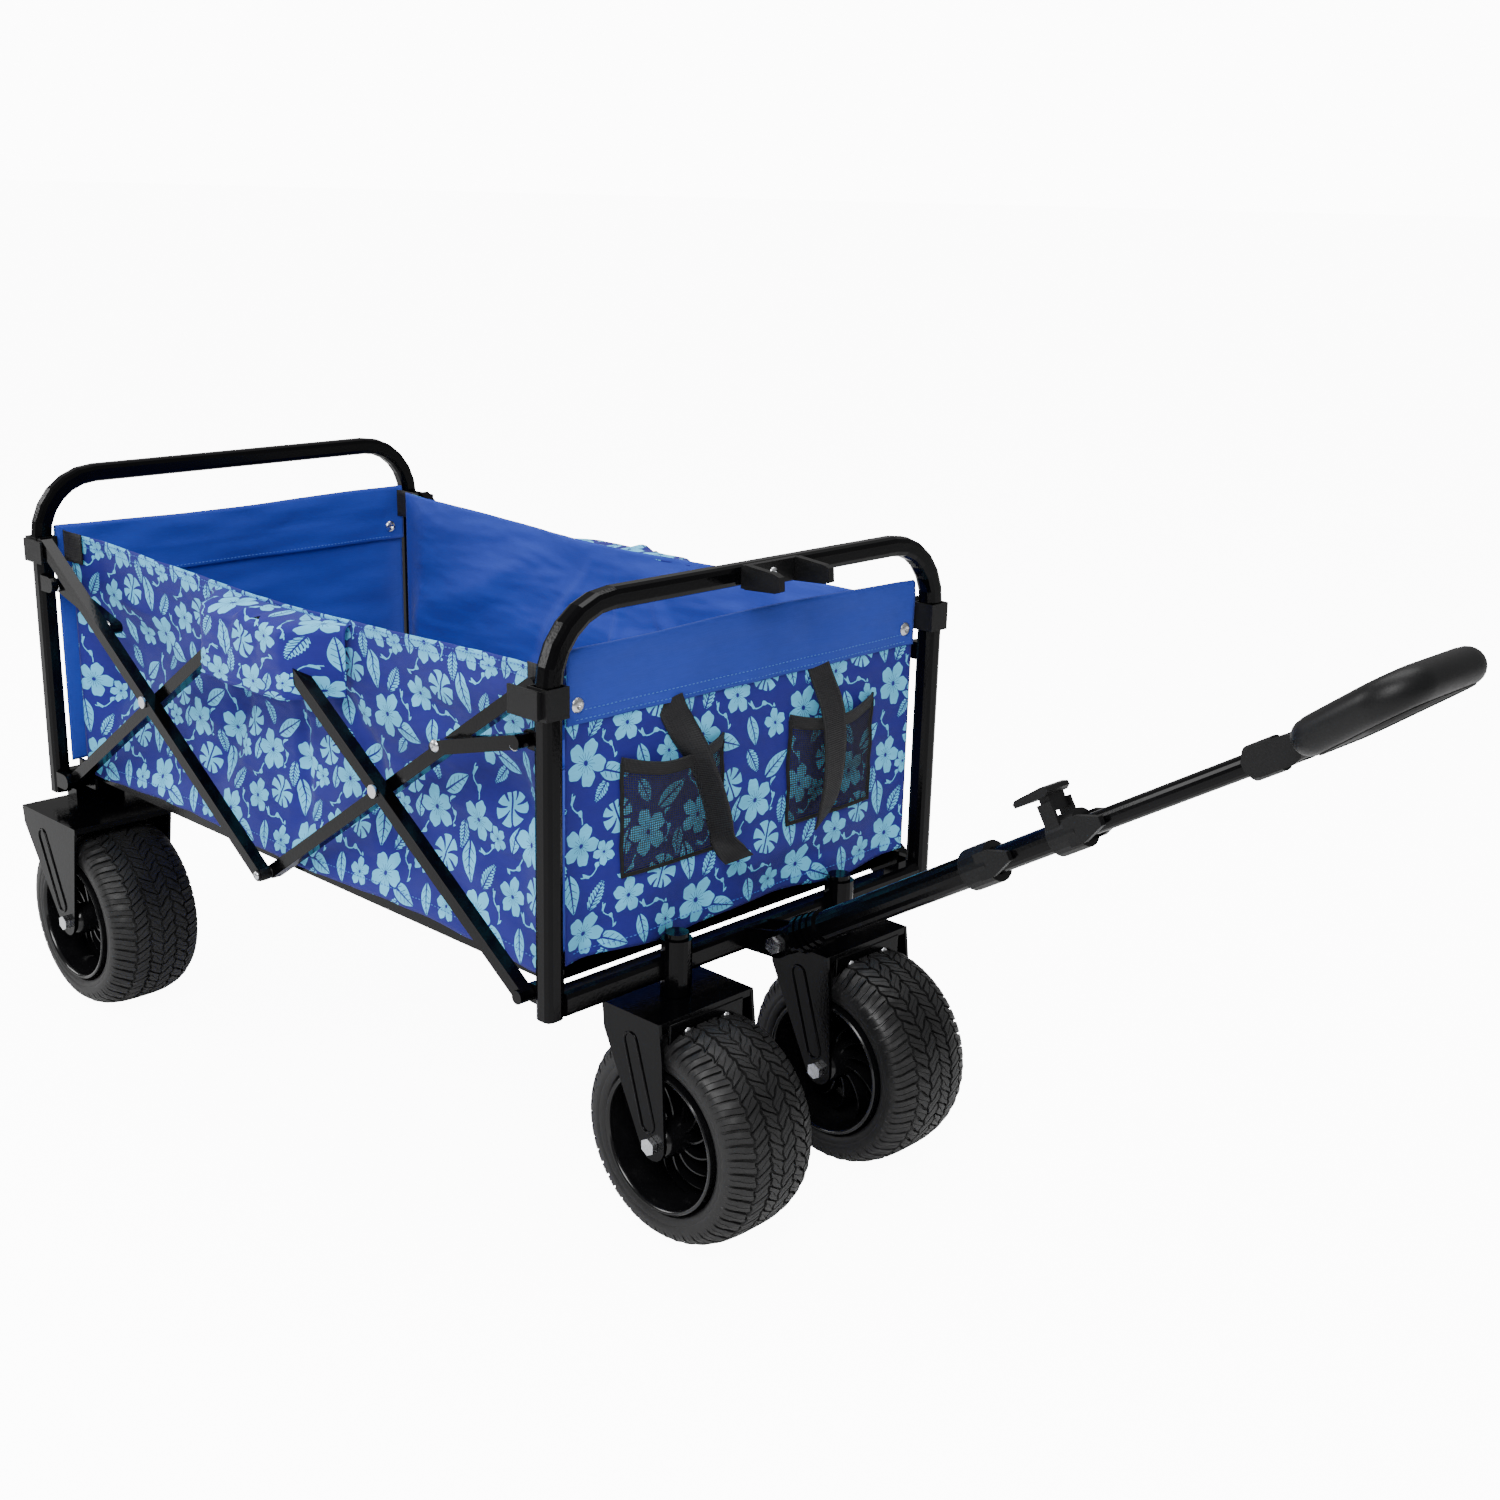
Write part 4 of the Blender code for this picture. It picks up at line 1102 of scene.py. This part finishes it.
# |y| across the tread, and the depth of the round-and-round groove there
TREAD_ROWS = (
    (0.0, 0.0017), (0.0008, 0.0017), (0.0013, 0.0), (0.0042, 0.0), (0.0072, 0.0), (0.0102, 0.0),
    (0.0126, 0.0), (0.0131, 0.0026), (0.0149, 0.0026), (0.0154, 0.0), (0.0185, 0.0), (0.0215, 0.0),
    (0.0245, 0.0), (0.0272, 0.0), (0.0277, 0.0022), (0.0291, 0.0022), (0.0296, 0.0), (0.0325, 0.0),
    (0.0355, 0.0), (0.0385, 0.0), (0.0412, 0.0), (0.0435, 0.0),
)
# |y|, radius and share of the cross groove's depth down the sidewall
WALL_ROWS = (
    (0.0453, 0.0835, 1.0), (0.0466, 0.0806, 0.65), (0.0475, 0.0775, 0.12), (0.0479, 0.0742, 0.0),
    (0.0479, 0.0722, 0.0), (0.0472, 0.0708, 0.0), (0.0474, 0.0694, 0.0), (0.0468, 0.0668, 0.0),
    (0.0452, 0.0645, 0.0), (0.0430, 0.0634, 0.0), (0.0410, 0.0624, 0.0),
)
# place within one tread pitch, and the depth of the cross groove there
PITCH_COLUMNS = (
    (0.0, 0.0), (0.035, 0.0027), (0.165, 0.0027), (0.20, 0.0), (0.36, 0.0), (0.50, 0.0),
    (0.575, 0.0), (0.592, 0.0012), (0.612, 0.0012), (0.630, 0.0), (0.80, 0.0),
)


def tread_shear(y):
    """Metres round the tyre that the cross grooves run back at |y|: a V, then a counter-slope."""
    y = abs(y)
    if y < 0.0140:
        return 0.0120 * y / 0.0140
    if y < 0.0284:
        return 0.0175 - 0.0100 * (y - 0.0140) / 0.0144
    return 0.0120 + 0.0040 * smooth((y - 0.0284) / 0.018)


def tyre_mesh():
    """One tyre about local Y, with a chevron tread, shoulder blocks and a beaded wall."""
    crown = 0.0950
    rows = []
    for y, groove in TREAD_ROWS:
        radius = crown - 0.0100 * (y / 0.0435) ** 3.4
        rows.append((y, radius, groove, 1.0))
    for y, radius, share in WALL_ROWS:
        rows.append((y, radius, 0.0, share))
    full = [(-y, r, g, s) for y, r, g, s in reversed(rows)] + rows[1:]
    bm = bmesh.new()
    rings = []
    pitch = 2 * math.pi / TREAD_PITCHES
    for y, radius, groove, share in full:
        ring = []
        shear = tread_shear(y) / crown
        for k in range(TREAD_PITCHES):
            for place, depth in PITCH_COLUMNS:
                angle = (k + place) * pitch + shear
                cut = max(groove, depth * share)
                zigzag = 0.0013 * math.sin(angle * TREAD_PITCHES) * (share if abs(y) < 0.04 else 0.0)
                ring.append(bm.verts.new(((radius - cut) * math.cos(angle), y + zigzag,
                                          (radius - cut) * math.sin(angle))))
        rings.append(ring)
    rings.append(rings[0])
    for low, high in zip(rings, rings[1:]):
        count = len(low)
        for k in range(count):
            n = (k + 1) % count
            bm.faces.new((low[k], high[k], high[n], low[n]))
    bmesh.ops.recalc_face_normals(bm, faces=bm.faces)
    return smooth_mesh("tyre_tread", bm, sharp=28)


def turn_about_y(bm, profile, steps=96):
    """Closes the loop of (radius, y) points round local Y."""
    turns = [2 * math.pi * k / steps for k in range(steps)]
    rings = [[bm.verts.new((r * math.cos(turn), y, r * math.sin(turn))) for turn in turns]
             for r, y in profile]
    for low, high in zip(rings, rings[1:] + rings[:1]):
        for k in range(steps):
            n = (k + 1) % steps
            bm.faces.new((low[k], high[k], high[n], low[n]))


def rim_mesh():
    """One rim about local Y: rolled lips, deep dishes, curved blades and a hub on both faces."""
    bm = bmesh.new()
    face = ((0.0612, 0.0405), (0.0614, 0.0470), (0.0612, 0.0490), (0.0602, 0.0499), (0.0588, 0.0497),
            (0.0576, 0.0484), (0.0570, 0.0460), (0.0563, 0.0380), (0.0550, 0.0240), (0.0540, 0.0120),
            (0.0524, 0.0060), (0.0490, 0.0034), (0.0200, 0.0030), (0.0172, 0.0050), (0.0165, 0.0200),
            (0.0150, 0.0430), (0.0138, 0.0470), (0.0120, 0.0488), (0.0060, 0.0490))
    turn_about_y(bm, list(face) + [(r, -y) for r, y in reversed(face)])
    steps = 14
    for facing in (1, -1):
        for k in range(RIM_BLADES):
            start = 2 * math.pi * k / RIM_BLADES
            left, right = [], []
            for i in range(steps + 1):
                t = i / steps
                radius = 0.0150 + 0.0405 * t
                angle = start + 0.75 * t ** 1.5
                half = (0.0017 - 0.0006 * t) / radius
                top = 0.0300 - 0.0100 * t + 0.0035 * math.sin(math.pi * t)
                for side, store in ((-1, left), (1, right)):
                    pair = []
                    for spin, height in ((angle + side * half, 0.0020), (angle + side * half * 0.55, top)):
                        pair.append(bm.verts.new((radius * math.cos(spin), height * facing,
                                                  radius * math.sin(spin))))
                    store.append(pair)
            for i in range(steps):
                bm.faces.new((left[i][0], left[i + 1][0], left[i + 1][1], left[i][1]))
                bm.faces.new((right[i][0], right[i][1], right[i + 1][1], right[i + 1][0]))
                bm.faces.new((left[i][1], left[i + 1][1], right[i + 1][1], right[i][1]))
                bm.faces.new((left[i][0], right[i][0], right[i + 1][0], left[i + 1][0]))
            bm.faces.new((left[0][0], left[0][1], right[0][1], right[0][0]))
            bm.faces.new((left[-1][0], right[-1][0], right[-1][1], left[-1][1]))
    bmesh.ops.recalc_face_normals(bm, faces=bm.faces)
    return smooth_mesh("dished_rim", bm, sharp=40)


def wheels(rubber, gloss):
    """Tyre and rim pieces on all four wheels."""
    tread, dish = tyre_mesh(), rim_mesh()
    tread.materials.append(rubber)
    dish.materials.append(gloss)
    for place in ("front", "rear"):
        for label, side in SIDES:
            low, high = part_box(f"{place}_tyre_{label}")
            centre = (low + high) / 2
            turn = Matrix.Rotation(math.radians(0 if side < 0 else 180), 4, "Z")
            for part, word, mesh, slot in (("tyre", "tread", tread, "tread_rubber"),
                                           ("rim", "dish", dish, "rim_gloss")):
                made = bpy.data.objects.new(f"{place}_{part}_{label}_{word}", mesh)
                show(made)
                made.matrix_world = Matrix.Translation(centre) @ turn
                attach(made, f"{place}_wheel_{label}")
                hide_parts(f"{place}_{part}_{label}")


# ---- frame trims


def arm_recess(name, top, bottom, y, facing, half, body, material):
    """Pressed edge of the long recess on a fork arm, from near its plate to near its axle."""
    axis = (bottom - top).normalized()
    sideways = Vector((-axis.z, 0, axis.x))
    points = []
    for centre, start in ((bottom, -90), (top, 90)):
        for k in range(9):
            angle = math.radians(start + 180 * k / 8)
            points.append(centre + axis * (half * math.cos(angle)) + sideways * (half * math.sin(angle)))
    points = [Vector((p.x, y + facing * 0.0002, p.z)) for p in points]
    return keep(tube(name, points, radius=0.0011, cyclic=True), body, "black_paint", material)


def fork_trims(paint, steel):
    """Pressed recesses, a folded front lip and small screws on the four forks."""
    for place in ("front", "rear"):
        for label, _ in SIDES:
            body = "caster_" + label if place == "front" else "rear_frame"
            fork = "caster_fork_" if place == "front" else "rear_fork_"
            fork_low, fork_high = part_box(fork + label)
            axle_low, axle_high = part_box(f"{place}_axle_{label}")
            axle = (axle_low + axle_high) / 2
            plate = min(fork_high.z, 0.202)
            top_x = fork_low.x + (0.034 if place == "front" else 0.040)
            top = Vector((top_x, 0, plate - 0.024))
            bottom = Vector((axle.x + (top.x - axle.x) * 0.20, 0, axle.z + (top.z - axle.z) * 0.20))
            for edge, facing, word in ((fork_low.y, -1, "out"), (fork_high.y, 1, "in")):
                arm_recess(f"{place}_fork_recess_{label}_{word}", top, bottom, edge, facing, 0.0072,
                           body, paint)
            if place == "rear":
                continue
            lip_x = fork_high.x - 0.0085
            span = (fork_low.y + 0.012, fork_high.y - 0.012)
            bm = bmesh.new()
            bmesh.ops.create_cube(bm, size=1.0)
            shape = Matrix.Diagonal((0.003, span[1] - span[0], 0.020, 1))
            centre = Vector((lip_x, (span[0] + span[1]) / 2, plate - 0.014))
            bmesh.ops.transform(bm, matrix=Matrix.Translation(centre) @ shape, verts=bm.verts)
            lip = mesh_object("front_fork_lip_" + label, bm)
            soften = lip.modifiers.new("soften", "BEVEL")
            soften.width = 0.0012
            soften.segments = 3
            keep(lip, body, "black_paint", paint)
            for k, letter in ((-1, "a"), (1, "b")):
                spot = Vector((lip_x + 0.0015, centre.y + k * 0.022, plate - 0.015))
                rivet_head(f"front_fork_screw_{label}_{letter}", spot, (1, 0, 0), body, steel,
                           radius=0.0036)


def bar_ends(plastic, steel):
    """Plastic plug and bright pin at the low end of every falling bar."""
    for place, end, _ in ENDS:
        for label, side in SIDES:
            body = f"{place}_fall_{label}"
            low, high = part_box(f"{place}_fall_bar_{label}")
            half = (high.y - low.y) / 2
            x = (low.x if end > 0 else high.x) + end * half
            spot = Vector((x, (low.y + high.y) / 2, low.z + half))
            profile = ((0, half + 0.0009), (half * 0.85, half + 0.0009), (half + 0.0004, half * 0.7),
                       (half + 0.0004, -half * 0.7), (half * 0.85, -half - 0.0009), (0, -half - 0.0009))
            plug = face_along(turned(f"{place}_bar_plug_{label}", profile, 24), spot, (0, side, 0))
            keep(plug, body, "moulded_plastic", plastic)
            rivet_head(f"{place}_bar_pin_{label}", spot + Vector((0, side * (half + 0.0009), 0)),
                       (0, side, 0), body, steel, radius=0.0040)


def link_rivets(steel):
    """Bright rivet heads on both ends of each short link."""
    inset = 0.008
    for place, end, _ in ENDS:
        for label, side in SIDES:
            low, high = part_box(f"{place}_link_{label}")
            y = (high.y if side > 0 else low.y) + side * 0.0001
            post_x = (high.x if end > 0 else low.x) - end * inset
            bar_x = (low.x if end > 0 else high.x) + end * inset
            for spot, x, z in (("post", post_x, high.z - inset), ("bar", bar_x, low.z + inset)):
                rivet_head(f"{place}_link_rivet_{spot}_{label}", Vector((x, y, z)), (0, side, 0),
                           f"{place}_link_{label}", steel)


def clip_screw(steel):
    """Screw through the handle clip's base."""
    low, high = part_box("handle_clip")
    spot = Vector((low.x + CLIP_BASE + 0.0001, 0.0, (low.z + high.z) / 2))
    rivet_head("clip_screw", spot, (1, 0, 0), "front_frame", steel, radius=0.0048)


def joint_place(name):
    """Where a joint's axis is, in the frame's coordinates."""
    found = next(j for j in frame["joints"] if j["name"] == name)
    return Vector(found["pos_m"])


def hand_grip(material):
    """Smooth D-shaped loop with a parting line, over the plain grip."""
    pivot = joint_place("grip_tilt")
    shaft = (pivot - joint_place("pull_pitch")).normalized()
    along = Matrix.Rotation(-GRIP_TURN, 3, "Y") @ shaft
    across = Vector((0, 1, 0))
    loop = []
    for x, y, radius, start, end in GRIP_CORNERS:
        for k in range(17):
            angle = math.radians(start + (end - start) * k / 16)
            reach, aside = x + radius * math.cos(angle), y + radius * math.sin(angle)
            loop.append(pivot + along * reach + across * aside)
    ring = tube("hand_grip", loop, GRIP_R, cyclic=True, resolution=9)
    keep(ring, "grip", "moulded_plastic", material)
    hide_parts("grip")
    up = along.cross(across)
    for face, rise in (("upper", GRIP_R), ("lower", -GRIP_R)):
        line = [p + up * (rise - 0.0002) for p in loop]
        seam = tube("hand_grip_seam_" + face, line, radius=0.0005, cyclic=True)
        keep(seam, "grip", "moulded_plastic", material)
    boss = [pivot - along * 0.004 + along * 0.034 * k / 6 for k in range(7)]
    keep(tube("hand_grip_boss", boss, radius=0.0094, resolution=8), "grip", "moulded_plastic", material)


def finish_frame(materials):
    """Gives every frame node that still shows its own finish and clean shading."""
    for node in frame["nodes"].values():
        for slot in node.material_slots:
            slot.material = materials[slot.material.name.split(".")[0]]
        node.data.shade_smooth()
        node.data.set_sharp_from_angle(angle=math.radians(32))


# ---- camera, floor and lights


def camera():
    """The viewpoint."""
    data = bpy.data.cameras.new("camera")
    made = bpy.data.objects.new("camera", data)
    show(made)
    azimuth, elevation = math.radians(CAMERA_AZIMUTH), math.radians(CAMERA_ELEVATION)
    back = Vector((math.sin(azimuth) * math.cos(elevation), -math.cos(azimuth) * math.cos(elevation),
                   math.sin(elevation)))
    right = (-back).cross(Vector((0, 0, 1))).normalized()
    up = right.cross(-back)
    roll = math.radians(CAMERA_ROLL)
    turned_right = right * math.cos(roll) + up * math.sin(roll)
    turned_up = up * math.cos(roll) - right * math.sin(roll)
    axes = Matrix((turned_right, turned_up, back)).transposed().to_4x4()
    made.matrix_world = Matrix.Translation(at(*CAMERA_AT)) @ axes
    data.sensor_width = 36
    data.lens = CAMERA_LENS
    data.shift_x, data.shift_y = CAMERA_SHIFT
    data.clip_start, data.clip_end = 0.05, 60
    bpy.context.scene.camera = made


def soft_light(name, place, aim, size, power):
    """A rectangular soft box."""
    data = bpy.data.lights.new(name, "AREA")
    data.shape = "RECTANGLE"
    data.size, data.size_y = size
    data.energy = power
    made = bpy.data.objects.new(name, data)
    show(made)
    made.location = place
    made.rotation_euler = (Vector(aim) - Vector(place)).to_track_quat("-Z", "Y").to_euler()


def seen_and_lighting(tree, seen, lighting):
    """One strength for what the camera sees directly and another for the light that it gives."""
    direct = tree.node("LightPath").outputs["Is Camera Ray"]
    return tree.remap(direct, 0.0, 1.0, lighting, seen)


def studio():
    """White floor, white surround and three large soft boxes."""
    bm = bmesh.new()
    bmesh.ops.create_grid(bm, x_segments=24, y_segments=24, size=70)
    floor = mesh_object("studio_floor", bm)
    show(floor)
    f = Finish("studio_floor_white", (0.90, 0.90, 0.90), 0.6)
    f.two_tone(f.noise(f.local(), 3.0, 3.0), (0.885, 0.885, 0.885), (0.905, 0.905, 0.905))
    f.set("Specular IOR Level", 0.1)
    f.shader.inputs["Emission Color"].default_value = (1, 1, 1, 1)
    f.set("Emission Strength", seen_and_lighting(f, FLOOR_GLOW, 0.0))
    floor.data.materials.append(f.material)
    world = bpy.data.worlds.new("studio")
    world.use_nodes = True
    background = world.node_tree.nodes["Background"]
    background.inputs[0].default_value = (1, 1, 1, 1)
    tree = Tree(world.node_tree)
    tree.feed(background.inputs[1], seen_and_lighting(tree, SURROUND_SEEN, SURROUND_LIGHT))
    bpy.context.scene.world = world
    soft_light("key", (1.4, -2.2, 2.6), (-0.1, 0, 0.3), (1.8, 1.8), KEY_POWER)
    soft_light("side", (-2.6, -1.6, 1.7), (-0.3, 0, 0.3), (1.6, 1.4), SIDE_POWER)
    soft_light("top", (-0.2, 0.6, 3.0), (-0.1, 0, 0.3), (2.4, 1.6), TOP_POWER)


# ---- the whole object

for startup in STARTUP_OBJECTS:
    if startup in bpy.data.objects:
        bpy.data.objects.remove(bpy.data.objects[startup])

camera()
studio()

paint = gloss_black()
plastic = moulded_black()
gloss = rim_gloss()
rubber = tread_rubber()
steel = bright_steel()
plain = plain_cloth()
printed = printed_cloth()
tape_black = webbing("black_webbing", (0.0065, 0.0065, 0.0075))
edging = webbing("black_binding", (0.0055, 0.0055, 0.0065), 0.0011)
yarn = net_yarn()
blue_thread = thread("blue_thread", (0.05, 0.16, 0.58))

finish_frame({
    "black_paint": paint,
    "rim_gloss": gloss,
    "moulded_plastic": plastic,
    "tread_rubber": rubber,
    "plain_steel": steel,
    "plain_fabric": plain,
    "printed_fabric": printed,
    "pocket_mesh": yarn,
})
wheels(rubber, gloss)
side_panels(printed, plain, blue_thread)
end_panels(printed, plain, blue_thread)
centre_flaps(printed, plain)
corner_tabs(tape_black)
net_pockets(yarn, edging)
straps(tape_black)
snaps(steel)
floor_pads(plain)
fork_trims(paint, steel)
link_rivets(steel)
bar_ends(plastic, steel)
clip_screw(steel)
hand_grip(plastic)
